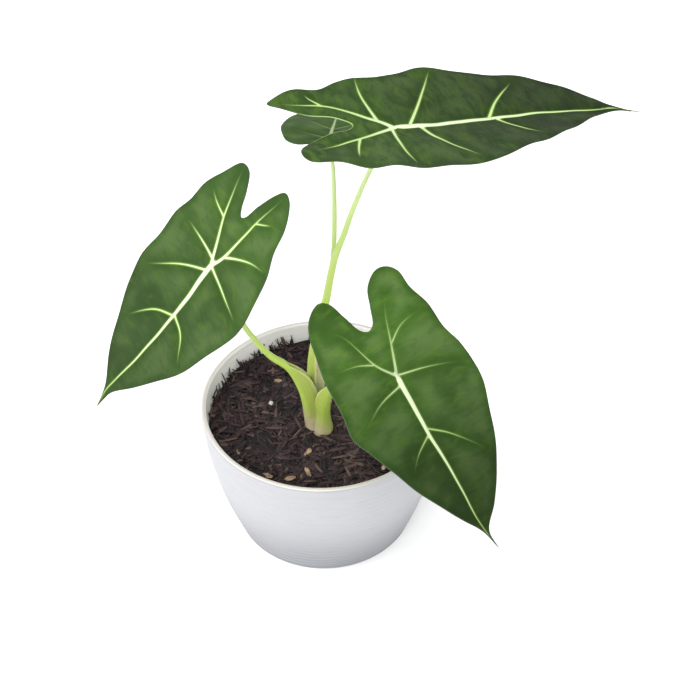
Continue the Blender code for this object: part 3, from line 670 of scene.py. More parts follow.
def glaze_finish(s):
    """Satin white glaze, thinner at the lip, dusty inside above the mix, with painted light on the
    inner wall and painted shade low on the outer wall.
    """
    f = Finish("pot_white_glaze")
    place = f.place()
    height = f.part(place, 2)
    inside = f.attribute("inside")
    outside = 1.0 - inside
    cloud = f.grain(place, 26.0, 3.0, 0.6)
    rings = f.grain(f.place((0.12, 0.12, 1.0)), 420.0, 3.0, 0.6)
    dust = f.grain(place, 300.0, 4.0, 0.7).rise(0.42, 0.72)
    below_lip = ((height - (s.height - 6.2 * MM)) * (1.0 / MM)) ** 2.0
    band = below_lip.fall(0.0, 0.35) * outside * rings.rise(0.25, 0.6)
    lip = (height + (cloud - 0.5) * (0.8 * MM)).rise(s.height - 0.9 * MM, s.height - 0.3 * MM)
    splash = (height + (cloud - 0.5) * (10.0 * MM)).fall(MIX_HIGH.z - 1.0 * MM,
                                                         MIX_HIGH.z + 5.0 * MM)
    body = f.coats(
        f.blend(cloud.rise(0.3, 0.8) * 0.35, s.glaze, s.glaze_cloud),
        (rings.rise(0.50, 0.75) * 0.35, s.ring_dust),
        (f.cells(place, 260.0).fall(0.01, 0.04) * 0.25, s.speck),
        # Painted light: the inner wall is given its much lighter colour.
        (inside, f.blend(cloud * 0.5, s.inner, s.inner_painted_light_cloud)),
        # Painted shade: the outer wall darkens towards the floor.
        (height.fall(0.0, 0.7 * s.height) * outside * 0.85, s.foot),
        (band * 0.45, s.band),
        (lip * 0.6, s.lip_clay),
        (inside * (splash * 0.08 + dust * splash * 0.40).clamped(), s.stain),
        (inside * dust * 0.04, s.stain))
    return f.finished(Base_Color=body, Roughness=0.34 + 0.14 * cloud,
                      Normal=f.bumps((cloud, 0.5 * MM, 0.3), (rings, 0.12 * MM, 0.5)),
                      Specular_IOR_Level=0.5, Coat_Weight=0.15, Coat_Roughness=0.25)


def floor_finish(s):
    """Pale matt floor."""
    f = Finish("floor_pale")
    grain = f.grain(f.place(), 60.0)
    body = f.blend(grain.rise(0.3, 0.7) * 0.15, s.floor, s.floor_cloud)
    return f.finished(Base_Color=body, Roughness=0.85)


# ---------------------------------------------------------------------------------------------
# Shapes
# ---------------------------------------------------------------------------------------------

# A vein that starts at least this wide gets five rows of points instead of three.
WIDE_VEIN = 1.2 * MM
# The points between the veins: rows on each side of the middle, and the gap between rows in steps.
LATTICE = 220
ROW_GAP = 0.866
# The blade's swellings for each metre, and the half width that the keel's depth is given for.
PUCKERS = 90.0
KEEL_HALF_WIDTH = 39.0 * MM
# How deep a stem's end lies under its blade, and the gap between its rings, in millimetres.
STALK_SUNK = 2.1
STEM_STEP = 1.3
# Half the angle of a stem's outer side, and the points on its outer and inner sides.
STEM_SPREAD = math.radians(118.0)
OUTER_POINTS = 29
INNER_POINTS = 17
# How far the open base of a stem faces upwards.
SHEATH_TILT = 0.55
# UV units for each metre of leaf, and millimetres of stem for each UV unit.
LEAF_UV = 5.0
STEM_UV = 100.0
# The corm's sides, and the gap between its rings.
CORM_SIDES = 72
CORM_STEP = 0.45 * MM
# A chip is made longer and narrower than its node, because its cuts take some of it away.
CHIP_STRETCH = (1.35, 0.80, 1.0)


def evenly(path, step):
    """Points at even spacing along a path, measured on its first three columns."""
    gaps = np.linalg.norm(np.diff(path[:, :3], axis=0), axis=1)
    lengths = np.r_[0.0, np.cumsum(gaps)]
    even = np.linspace(0.0, lengths[-1], max(2, int(round(lengths[-1] / step)) + 1))
    return np.stack([np.interp(even, lengths, column) for column in path.T], axis=1)


def smooth_path(points, step, closed=False):
    """Even points on a centripetal Catmull-Rom curve. A closed one has a corner at its start."""
    knots = np.array(points, float)
    if closed:
        knots = np.vstack([knots, knots[:1]])
    ends = np.vstack([2 * knots[0] - knots[1], knots, 2 * knots[-1] - knots[-2]])
    t = np.linspace(0.0, 1.0, 12, endpoint=False)[:, None]
    path = []
    for before, start, stop, after in zip(ends, ends[1:], ends[2:], ends[3:]):
        g0, g1, g2 = (max(np.linalg.norm(b - a), 1e-9) ** 0.5
                      for a, b in ((before, start), (start, stop), (stop, after)))
        leave = ((start - before) / g0 - (stop - before) / (g0 + g1) + (stop - start) / g1) * g1
        reach = ((stop - start) / g1 - (after - start) / (g1 + g2) + (after - stop) / g2) * g1
        path.append((2 * t**3 - 3 * t**2 + 1) * start + (t**3 - 2 * t**2 + t) * leave
                    + (3 * t**2 - 2 * t**3) * stop + (t**3 - t**2) * reach)
    return evenly(np.vstack(path + [knots[-1:]]), step)


def ease(value, low, high):
    """A smooth rise from 0 at low to 1 at high, on numbers or arrays."""
    t = np.clip((np.asarray(value, float) - low) / (high - low), 0.0, 1.0)
    return t * t * (3.0 - 2.0 * t)


def shown(name, mesh, material):
    """Put a mesh in the scene, smooth and with its material."""
    mesh.shade_smooth()
    mesh.materials.append(material)
    made = bpy.data.objects.new(name, mesh)
    bpy.context.scene.collection.objects.link(made)
    return made


def new_piece(name, verts, faces, material, numbers=None, sheet=None):
    """A mesh object. numbers are attributes on points, sheet is (name, UV of each point)."""
    mesh = bpy.data.meshes.new(name)
    mesh.from_pydata(np.asarray(verts).tolist(), [], faces)
    mesh.update()
    for key, values in (numbers or {}).items():
        mesh.attributes.new(key, "FLOAT", "POINT").data.foreach_set("value", np.float32(values))
    if sheet:
        layer = mesh.uv_layers.new(name=sheet[0])
        index = np.zeros(len(mesh.loops), np.int32)
        mesh.loops.foreach_get("vertex_index", index)
        layer.data.foreach_set("uv", np.float32(sheet[1])[index].ravel())
    return shown(name, mesh, material)


def hand_over(piece, nodes):
    """Tell the frame what a piece stands for, by putting it under the root body and hiding the
    nodes it replaces.
    """
    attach(piece, "root")
    if nodes:
        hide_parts(*nodes)


def refinish(node, material):
    """Give a frame node that stays a new material."""
    node.data.materials.clear()
    node.data.materials.append(material)


def turned(profile, segments):
    """Points and faces of a profile of (radius, height), from axis to axis, turned about +Z."""
    turns = np.arange(segments) * math.tau / segments
    verts = [(0.0, 0.0, profile[0][1])]
    for radius, height in profile[1:-1]:
        verts += [(radius * math.cos(a), radius * math.sin(a), height) for a in turns]
    verts.append((0.0, 0.0, profile[-1][1]))
    rows = len(profile) - 2
    last = len(verts) - 1
    faces = []
    for side in range(segments):
        nxt = (side + 1) % segments
        faces.append((0, 1 + nxt, 1 + side))
        for row in range(rows - 1):
            low, high = 1 + row * segments, 1 + (row + 1) * segments
            faces.append((low + side, low + nxt, high + nxt, high + side))
        top = 1 + (rows - 1) * segments
        faces.append((top + side, top + nxt, last))
    return np.array(verts), faces


def pot_radius(height, s):
    """The pot's outer radius at a height."""
    part = min(max(height / s.height, 0.0), 1.0)
    return s.base_radius + (s.rim_radius - s.base_radius) * (1.0 - (1.0 - part) ** s.bulge)


def mix_height(radius):
    """Height of the mix's top: a low dome."""
    return MIX_HIGH.z - MIX_DOME * (radius / MIX_RADIUS) ** 2


def blade_axes(leaf):
    """Unit vectors of a blade: along the midrib, to its left, and out of its upper side."""
    heading, dip, bank = (math.radians(leaf[key]) for key in ("heading", "dip", "bank"))
    along = Vector((math.cos(heading) * math.cos(dip), math.sin(heading) * math.cos(dip),
                    -math.sin(dip)))
    level = Vector((math.cos(heading) * math.sin(dip), math.sin(heading) * math.sin(dip),
                    math.cos(dip)))
    side = level.cross(along)
    up = level * math.cos(bank) + side * math.sin(bank)
    return along, up.cross(along), up


def inside(outline, spots):
    """Which spots lie inside a closed outline."""
    hits = np.zeros(len(spots), int)
    for (a, b), (c, d) in zip(outline, np.roll(outline, -1, axis=0)):
        if b != d:
            crosses = (b > spots[:, 1]) != (d > spots[:, 1])
            hits += crosses & (spots[:, 0] < a + (spots[:, 1] - b) * (c - a) / (d - b))
    return hits % 2 == 1


def nearest_on(path, spots):
    """Each spot's distance from a path, and how far along the path its nearest point is."""
    start, run = path[:-1], np.diff(path, axis=0)
    share_along = ((spots[:, None] - start) * run).sum(2) / (run**2).sum(1)
    share_along = np.clip(share_along, 0.0, 1.0)
    gaps = np.linalg.norm(spots[:, None] - start - run * share_along[..., None], axis=2)
    nearest = gaps.argmin(1)
    rows = np.arange(len(spots))
    return gaps[rows, nearest], (nearest + share_along[rows, nearest]) / len(run)


def gap_finder(spots):
    """A function that gives a flat spot's distance from the nearest of the spots."""
    tree = kdtree.KDTree(len(spots))
    for index, spot in enumerate(spots):
        tree.insert((spot[0], spot[1], 0.0), index)
    tree.balance()
    return lambda spot: tree.find((spot[0], spot[1], 0.0))[2] if len(spots) else math.inf


def vein_width(start, stop, share_along, midrib):
    """Half width of a vein along its length. The midrib is narrower again where it begins."""
    if not midrib:
        return stop + (start - stop) * (1.0 - share_along)
    width = stop + (start - stop) * (1.0 - share_along) ** 1.25
    return width * (0.35 + 0.65 * ease(share_along, 0.0, 0.05))


def blade_plan(leaf, step):
    """A blade's flat triangulation, with rows of points along each vein, three for a thin vein
    and five for a wide one, and an even lattice between them."""
    scale = np.array((leaf["length"], leaf["half_width"]))
    outline = smooth_path(np.array(leaf["outline"]) / 100 * scale, step, closed=True)[:-1]
    veins = [(smooth_path(np.array(points) / 100 * scale, step), start * MM, stop * MM)
             for start, stop, points in leaf["veins"]]
    from_margin = gap_finder(outline)
    rows, edges = [], []
    for number, (path, start, stop) in enumerate(veins):
        run = np.gradient(path, axis=0)
        side = np.stack([-run[:, 1], run[:, 0]], axis=1) / np.linalg.norm(run, axis=1)[:, None]
        width = vein_width(start, stop, np.linspace(0.0, 1.0, len(path)), number == 0)[:, None]
        from_rows = gap_finder(list(rows))
        for lane in (0.0, -1.0, 1.0, -0.5, 0.5):
            if abs(lane) == 0.5 and start < WIDE_VEIN:
                continue
            before = None
            for spot in path + side * width * lane:
                if from_rows(spot) < 0.35 * step or from_margin(spot) < 0.5 * step:
                    before = None
                    continue
                rows.append(spot)
                if lane == 0.0 and before is not None:
                    edges.append((before, len(rows) - 1))
                before = len(rows) - 1
    lattice = np.arange(-LATTICE, LATTICE + 1)
    across, along = np.meshgrid(lattice, lattice)
    fill = np.stack([(along + 0.5 * (across % 2)) * step, across * step * ROW_GAP], axis=-1)
    fill = fill.reshape(-1, 2)
    low, high = outline.min(0), outline.max(0)
    fill = fill[((fill > low) & (fill < high)).all(1)]
    fill = fill[inside(outline, fill)]
    from_rows = gap_finder(rows)
    fill = [spot for spot in fill
            if from_rows(spot) > 0.55 * step and from_margin(spot) > 0.5 * step]
    flat = [Vector(spot) for spot in np.vstack([outline, rows, fill])]
    links = [(a + len(outline), b + len(outline)) for a, b in edges]
    spots, _, faces, _, _, _ = delaunay_2d_cdt(flat, links, [list(range(len(outline)))], 1, 1e-8)
    return np.array([tuple(spot) for spot in spots]), faces, outline, veins


def blade_surface(leaf, s, spots):
    """Height of a blade's plain upper side over its plane."""
    along, across = spots[:, 0] / leaf["length"], spots[:, 1] / leaf["half_width"]
    soft = 0.06
    rise = np.hypot(across, soft) - soft
    fold = math.tan(math.radians(s.fold)) * rise * leaf["half_width"]
    return fold - s.arch_across * across**2 - s.arch_along * along**2


def ridge(gap, half_width, skirt):
    """A soft ridge's height, from 1 on its centre line, at a gap from the vein's edge."""
    return np.exp(-(np.clip(gap + half_width, 0.0, None) / (half_width + skirt)) ** 2)


def make_blade(name, leaf, s, material):
    """A leaf blade: a thin sheet, puckered between sunken side veins, with a keel below."""
    spots, faces, outline, veins = blade_plan(leaf, s.mesh_step)
    margin, margin_at = nearest_on(np.vstack([outline, outline[:1]]), spots)
    vein_gap = np.full(len(spots), 1.0)
    vein_tone = np.ones(len(spots))
    wide = np.full(len(spots), 0.1 * MM)
    for number, (path, start, stop) in enumerate(veins):
        distance, share_along = nearest_on(path, spots)
        width = vein_width(start, stop, share_along, number == 0)
        if number == 0:
            rib_gap = distance - width
            rib_width = width
            rib_share = share_along
        else:
            closer = distance - width < vein_gap
            vein_gap = np.where(closer, distance - width, vein_gap)
            fade = 1.0 - ease(share_along, leaf["fade"], 1.06)
            vein_tone = np.where(closer, fade, vein_tone)
            wide = np.where(closer, width, wide)
    near_rib = rib_gap < vein_gap
    close = np.clip(1.0 - np.abs(rib_gap - vein_gap) / s.fillet, 0.0, 1.0)
    all_gap = np.minimum(rib_gap, vein_gap) - 0.25 * s.fillet * close**2
    tone = np.where(near_rib, 1.0 - 0.35 * ease(rib_share, 0.8, 1.0), vein_tone)
    width = np.where(near_rib, rib_width, wide)

    waves = 1.0 - ease(margin, 0.0, 0.45 * leaf["half_width"])
    turns = round(len(outline) * s.mesh_step / s.wave_gap)
    height = blade_surface(leaf, s, spots)
    height += (leaf["wave"] * MM * waves**2
               * np.sin(margin_at * math.tau * turns + len(name)))
    swell = np.array([noise.noise((u * PUCKERS, v * PUCKERS, len(name) * 3.1))
                      for u, v in spots])
    height += swell * s.pucker * ease(margin, 0.0, 6.0 * MM)
    valley = np.exp(-np.clip(all_gap, 0.0, None) / s.valley) * ease(margin, 0.0, 5.0 * MM)
    height -= s.groove * valley * np.where(near_rib, 0.5, tone)
    height += 0.22 * width * np.clip(-all_gap / width, 0.0, 1.0)

    thick = s.edge_thickness + (s.thickness - s.edge_thickness) * ease(margin, 0.0, 4.0 * MM)
    rib_depth = s.keel * (1.0 - 0.85 * rib_share) * leaf["half_width"] / KEEL_HALF_WIDTH
    keel = rib_depth * ridge(rib_gap, rib_width, 0.5 * MM)
    side_keel = 1.1 * wide * vein_tone * ridge(vein_gap, wide, 0.25 * MM)
    thick = thick + np.maximum(keel, side_keel) * ease(margin, 0.0, 2.0 * MM)

    along, left, up = (np.array(axis) for axis in blade_axes(leaf))
    junction = np.array(CROWN + Vector(leaf["route"][-1]) * MM)
    base = junction + spots[:, :1] * along + spots[:, 1:] * left
    verts = np.vstack([base + height[:, None] * up, base + (height - thick)[:, None] * up])
    total = len(spots)
    sides = set()
    for face in faces:
        sides.update(zip(face, face[1:] + face[:1]))
    quads = [(b, a, a + total, b + total) for a, b in sorted(sides) if (b, a) not in sides]
    mesh_faces = ([tuple(face) for face in faces]
                  + [tuple(index + total for index in reversed(face)) for face in faces] + quads)
    lobeward = -spots[:, 0] / leaf["length"]
    twice = {
        "vein_gap": all_gap / MM,
        "vein_tone": tone * leaf["contrast"],
        "rib_gap": rib_gap / MM,
        "rib_tone": (1.0 - 0.8 * ease(rib_share, 0.10, 0.95)) * min(1.0, 1.5 * leaf["contrast"])
                    * (0.45 + 0.55 * ease(rib_share, 0.0, 0.05)),
        # Painted light and shade along the blade, from the lobes to the tip.
        "shade": leaf["painted_shades"][0] + (leaf["painted_shades"][1] - leaf["painted_shades"][0])
                 * ease(spots[:, 0] / leaf["length"], -0.4, 0.8),
        "mottle": np.full(len(spots), leaf["mottle"]),
        "margin_gap": margin / MM,
        "pale_rim": leaf["pale_rim"] * ease(lobeward, 0.06, 0.12)
                    * (1.0 - ease(lobeward, 0.24, 0.36))
                    * (1.0 - ease(np.abs(spots[:, 1]) / leaf["half_width"], 0.30, 0.62)),
        "heart": np.exp(-np.linalg.norm(spots, axis=1) / (14.0 * MM)),
        "rungs": (spots[:, 0] - 0.30 * np.abs(spots[:, 1])) / MM,
    }
    numbers = {key: np.r_[values, values] for key, values in twice.items()}
    numbers["under"] = np.r_[np.zeros(total), np.ones(total)]
    flat = np.vstack([spots, spots]) * LEAF_UV + 0.5
    piece = new_piece(f"leaf_{name}", verts, mesh_faces, material, numbers, ("Leaf", flat))
    hand_over(piece, [f"blade_{name}"])


def stem_section(radius, hollow, wing):
    """A stem's cross-section, x across and y to the plant's centre: round where hollow is 0, and
    where it is 1 an open trough whose thin edges stand out by wing."""
    spread = STEM_SPREAD
    outer = np.linspace(-spread, spread, OUTER_POINTS)
    inner = np.linspace(0.0, 1.0, INNER_POINTS + 2)[1:-1]
    wall = 0.42 - 0.18 * hollow

    def arc(turns, size):
        return np.stack([np.sin(turns), -np.cos(turns)], axis=1) * size

    back = arc(outer, radius)
    closed = arc(spread + (math.tau - 2 * spread) * inner, radius)
    opened = arc(spread - 2 * spread * inner, radius) * (1.0 - wall)
    front = closed + (opened - closed) * hollow
    back_share, front_share = np.abs(outer) / spread, np.abs(2.0 * inner - 1.0)
    back[:, 1] += ease(back_share, 0.55, 1.0) * wing
    front[:, 1] += ease(front_share, 0.55, 1.0) * wing
    rim = ease(front_share, 0.75, 1.0)
    edge = np.r_[ease(back_share, 0.88, 1.0), rim]
    # fold marks the painted shade on the outer face, towards the thin edges.
    fold = np.r_[ease(back_share, 0.35, 0.72), np.zeros(len(inner))]
    # within marks the inner face, which takes painted shade, or the pale lining where a leaf has
    # one.
    within = np.r_[np.zeros(len(outer)), 1.0 - rim]
    return np.vstack([back, front]), edge * hollow, within * hollow, fold * hollow


def make_stem(name, leaf, material):
    """A leaf's stem: a round stalk that opens into a trough-shaped sheath at its foot. Its end is
    sunk under the blade. All is in millimetres from the crown until the points are done."""
    knots = leaf["foot"] + [(*spot, radius) for spot, radius in zip(leaf["route"], leaf["radii"])]
    sunk = Vector(knots[-1][:3]) - blade_axes(leaf)[2] * STALK_SUNK
    knots[-1] = (*sunk, knots[-1][3])
    path = smooth_path(knots, STEM_STEP)
    reach, wing = leaf["sheath"]
    runs = np.gradient(path[:, :3], axis=0)
    runs /= np.linalg.norm(runs, axis=1)[:, None]
    opens = math.radians(leaf["opens"])
    inward = np.array((math.cos(opens), math.sin(opens), SHEATH_TILT))
    lengths = np.r_[0.0, np.cumsum(np.linalg.norm(np.diff(path[:, :3], axis=0), axis=1))]
    rings, sheet, numbers = [], [], {}
    for spot, run, run_length in zip(path, runs, lengths):
        facing = inward - run * inward.dot(run)
        facing /= np.linalg.norm(facing)
        across = np.cross(run, facing)
        part = run_length / reach
        hollow = float(ease(run_length, 9.0, 17.0) * (1.0 - ease(part, 0.80, 1.0)) * 0.95)
        lifted = wing * float(ease(part, 0.16, 0.45) * (1.0 - ease(part, 0.66, 0.98)))
        flare = 1.0 + 0.22 * float(1.0 - ease(lengths[-1] - run_length, 0.0, 5.0))
        section, edge, within, fold = stem_section(spot[3] * flare, hollow, lifted)
        sides = len(section)
        ring = spot[:3] + section[:, :1] * across + section[:, 1:] * facing
        rings.append(ring)
        # inner and fold carry where the painted shade goes: the inside of the open base and the
        # fold towards its thin edges.
        carried = {"height": ring[:, 2], "along": np.full(sides, run_length / lengths[-1]),
                   "inner": within, "lining": within * leaf["lining"], "edge": edge,
                   "fold": fold}
        for key, values in carried.items():
            numbers.setdefault(key, []).append(values)
        sheet.append(np.stack([np.arange(sides) / sides,
                               np.full(sides, run_length / STEM_UV)], axis=1))
    verts = np.vstack(rings) * MM + np.array(CROWN)
    faces = []
    for row in range(len(rings) - 1):
        for side in range(sides):
            nxt = (side + 1) % sides
            low, high = row * sides, (row + 1) * sides
            faces.append((low + side, low + nxt, high + nxt, high + side))
    faces.append(tuple(reversed(range(sides))))
    faces.append(tuple(range((len(rings) - 1) * sides, len(rings) * sides)))
    numbers = {key: np.concatenate(values) for key, values in numbers.items()}
    piece = new_piece(f"stem_{name}", verts, faces, material, numbers, ("Stem", np.vstack(sheet)))
    face_out(piece)
    hand_over(piece, [f"petiole_{name}"])


def face_out(piece):
    """Turn every face of a closed mesh outwards."""
    bm = bmesh.new()
    bm.from_mesh(piece.data)
    bmesh.ops.recalc_face_normals(bm, faces=bm.faces)
    bm.to_mesh(piece.data)
    bm.free()


def make_corm(s):
    """The corm: an onion shape with uneven scar rings."""
    shape = [(0.0, -1.0), (0.35, -0.98), (0.70, -0.82), (0.90, -0.57), (1.0, -0.07),
             (0.97, 0.25), (0.86, 0.55), (0.66, 0.82), (0.33, 0.97), (0.0, 1.0)]
    scaled = [(r * CORM_RADIUS, h * (0.72 * CORM_ABOVE if h > 0 else CORM_BELOW))
              for r, h in shape]
    profile = smooth_path(scaled, CORM_STEP)
    verts, faces = turned(profile, CORM_SIDES)
    for index, (x, y, z) in enumerate(verts):
        turn = math.atan2(y, x)
        ring = 0.10 * math.sin(z / MM * 3.1 + 0.6 * math.sin(2 * turn))
        lump = 0.55 * noise.noise((x * 170.0, y * 170.0, z * 170.0))
        skirt = 0.12 * noise.noise((math.cos(turn) * 6.0, math.sin(turn) * 6.0, z * 60.0))
        grow = 1.0 + (ring + lump + skirt) * MM / CORM_RADIUS
        verts[index] = (x * grow, y * grow, z)
    numbers = {"height": verts[:, 2] / MM}
    verts = verts + np.array(CROWN)
    piece = new_piece("corm_skin", verts, faces, corm_finish(s), numbers)
    face_out(piece)
    hand_over(piece, ["corm"])


def make_lump(name, node, material, seed, cuts):
    """A small rough piece in the place of a frame node, turned the way the node is. Cuts break it
    off flat on that many sides."""
    spots = np.array([tuple(vert.co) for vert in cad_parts[node].data.vertices])
    centre = (spots.min(0) + spots.max(0)) / 2
    spread = spots - centre
    level = np.linalg.eigh(np.cov(spread[:, :2].T))[1]
    axes = np.array([(*level[:, 1], 0.0), (-level[1, 1], level[0, 1], 0.0), (0.0, 0.0, 1.0)])
    reach = np.abs(spread @ axes.T).max(0)
    rng = random.Random(seed)
    shift = Vector([rng.uniform(0.0, 50.0) for _ in range(3)])
    lean = rng.uniform(-0.5, 0.5)
    planes = [(Vector([rng.gauss(0.0, 1.0) for _ in range(3)]).normalized(),
               rng.uniform(0.50, 0.85))
              for _ in range(cuts)]
    bm = bmesh.new()
    bmesh.ops.create_icosphere(bm, subdivisions=4, radius=1.0)
    for vert in bm.verts:
        spot = vert.co.copy()
        grow = (0.92 + 0.40 * noise.noise(spot * 1.1 + shift)
                + 0.16 * noise.noise(Vector((spot.x * 2.0, spot.y * 7.0, spot.z * 9.0)) + shift)
                + 0.05 * noise.noise(spot * 15.0 + shift))
        for normal, depth in planes:
            grow = min(grow, depth / max(normal.dot(spot), 0.01))
        box = np.array(spot) * grow * (CHIP_STRETCH if cuts else 1.0)
        box[2] += lean * box[0]
        vert.co = centre + (box * reach) @ axes
    mesh = bpy.data.meshes.new(name)
    bm.to_mesh(mesh)
    bm.free()
    hand_over(shown(name, mesh, material), [node])


# ---------------------------------------------------------------------------------------------
# Geometry Nodes
# ---------------------------------------------------------------------------------------------

class Recipe(Nodes):
    """A Geometry Nodes tree with named inputs, which is run on a piece and then baked."""

    def __init__(self, name, inputs):
        super().__init__(bpy.data.node_groups.new(name, "GeometryNodeTree"))
        face = self.tree.interface
        face.new_socket("Geometry", in_out="INPUT", socket_type="NodeSocketGeometry")
        self.keys = {}
        for label, (kind, value) in inputs.items():
            socket = face.new_socket(label, in_out="INPUT", socket_type=f"NodeSocket{kind}")
            if kind != "Material":
                socket.default_value = value
            self.keys[socket.identifier] = value
        face.new_socket("Geometry", in_out="OUTPUT", socket_type="NodeSocketGeometry")
        self.start = self.tree.nodes.new("NodeGroupInput")
        self.end = self.tree.nodes.new("NodeGroupOutput")

    def given(self, label):
        """A named input."""
        return Term(self, self.start.outputs[label])

    def attribute(self, name):
        """A number that the mesh carries."""
        return self.number("GeometryNodeInputNamedAttribute", {"data_type": "FLOAT"},
                           {"Name": name})

    def moved(self, geometry, **inputs):
        """Geometry whose points move to a Position or by an Offset."""
        return self.node("GeometryNodeSetPosition", None, {"Geometry": geometry, **inputs})

    def bake(self, piece, result):
        """Finish the tree, run it on the piece, and make the result its plain mesh."""
        real = self.node("GeometryNodeRealizeInstances", None, {0: result})
        dressed = self.node("GeometryNodeSetMaterial", None,
                            {"Geometry": real, "Material": self.given("Material")})
        self.tree.links.new(dressed, self.end.inputs[0])
        modifier = piece.modifiers.new(self.tree.name, "NODES")
        modifier.node_group = self.tree
        for identifier, value in self.keys.items():
            modifier[identifier] = value
        evaluated = piece.evaluated_get(bpy.context.evaluated_depsgraph_get())
        mesh = bpy.data.meshes.new_from_object(evaluated)
        mesh.name = piece.name
        piece.modifiers.remove(modifier)
        old, piece.data = piece.data, mesh
        bpy.data.meshes.remove(old)


def ridge_recipe(s, material):
    """Turned ridges: the wall moves in and out with height, a little unevenly."""
    r = Recipe("Turned ridges", {
        "Gap": ("Float", s.ridge_gap),
        "Depth": ("Float", s.ridge_depth),
        "Seed": ("Float", 3.0),
        "Material": ("Material", material),
    })
    place = r.node("GeometryNodeInputPosition")

    def uneven(scale, detail):
        return r.number("ShaderNodeTexNoise", {"noise_dimensions": "4D"},
                        {"Vector": place, "W": r.given("Seed"), "Scale": scale,
                         "Detail": detail})

    drift = uneven(14.0, 2.0)
    patchy = uneven(22.0, 4.0) ** 2.0 * 3.2
    wave = ((r.part(place, 2) / r.given("Gap") + drift * 2.6) * math.tau).sine()
    deep = wave * r.given("Depth") * patchy
    shift = (deep + (drift - 0.5) * (0.6 * MM)) * r.attribute("wall")
    offset = r.vectors("SCALE", r.node("GeometryNodeInputNormal"), shift)
    return r, r.moved(r.given("Geometry"), Offset=offset)


def scatter_recipe(kind, material, density, length, width, tilt, stands, seed):
    """Bark shreds scattered over a bed where its attribute of that kind says, kept in the pot."""
    pot = settings("pot")
    r = Recipe(f"Scatter {kind}", {
        "Density": ("Float", density),
        "Length": ("Float", length),
        "Width": ("Float", width),
        "Least tilt": ("Float", tilt[0]),
        "Most tilt": ("Float", tilt[1]),
        "Seed": ("Int", seed),
        "Material": ("Material", material),
    })
    place = r.node("GeometryNodeInputPosition")
    points = r.node("GeometryNodeDistributePointsOnFaces", {"distribute_method": "RANDOM"},
                    {"Mesh": r.given("Geometry"), "Seed": r.given("Seed"),
                     "Density": r.given("Density") * r.attribute(kind)})

    def chance(low, high, offset):
        """A number that differs from one shred to the next."""
        seed_here = r.node("FunctionNodeIntegerMath", {"operation": "ADD"},
                           {0: r.given("Seed"), 1: offset})
        return r.number("FunctionNodeRandomValue", {"data_type": "FLOAT"},
                        {"Min": low, "Max": high, "Seed": seed_here}, "Value")

    def stir(scale, reach):
        """A noisy offset of up to about half of reach."""
        made = r.node("ShaderNodeTexNoise", None,
                      {"Vector": place, "Scale": scale, "Detail": 1.0}, "Color")
        return r.vectors("SCALE", r.vectors("SUBTRACT", made, (0.5, 0.5, 0.5)), reach)

    body = r.node("GeometryNodeMeshCylinder", {"fill_type": "TRIANGLE_FAN"},
                  {"Vertices": 5, "Side Segments": 6 if length > 5.0 * MM else 4,
                   "Radius": 1.0, "Depth": 1.0})
    high = r.part(place, 2)
    slim = 1.0 - high * high * 2.2
    body = r.moved(body, Position=r.vectors("MULTIPLY", place, r.vector(slim, slim, 1.0)),
                   Offset=(0.0, 0.0, 0.42 if stands else 0.0))
    wide = r.given("Width") * chance(0.55, 1.45, 2)
    scale = r.vector(wide * chance(0.35, 0.8, 6), wide,
                     r.given("Length") * chance(0.40, 1.25, 1))
    turn = r.vector(chance(-0.35, 0.35, 4),
                    chance(r.given("Least tilt"), r.given("Most tilt"), 3),
                    chance(0.0, math.tau, 5))
    placed = r.node("GeometryNodeInstanceOnPoints", None,
                    {"Points": points, "Instance": body, "Rotation": turn, "Scale": scale})
    tinted = r.node("GeometryNodeStoreNamedAttribute",
                    {"data_type": "FLOAT", "domain": "INSTANCE"},
                    {"Geometry": placed, "Name": "tint", "Value": chance(0.0, 1.0, 8)})
    real = r.node("GeometryNodeRealizeInstances", None, {0: tinted})
    bent = r.moved(real, Offset=r.vectors("ADD", stir(45.0, 5.0 * MM), stir(700.0, 0.4 * MM)))

    x, y, z = (r.part(place, axis) for axis in range(3))
    drop = r.maths("MAXIMUM", 1.0 - z / pot.height, 0.0)
    wall = ((1.0 - drop ** pot.bulge) * (pot.rim_radius - pot.base_radius)
            + (pot.base_radius - pot.wall - WALL_GAP))
    keep = r.maths("MINIMUM", wall / r.maths("SQRT", x * x + y * y), 1.0)
    kept = r.moved(bent, Position=r.vector(x * keep, y * keep, z))
    return r, r.node("GeometryNodeSetShadeSmooth", None, {"Geometry": kept})


# ---------------------------------------------------------------------------------------------
# Operators
# ---------------------------------------------------------------------------------------------

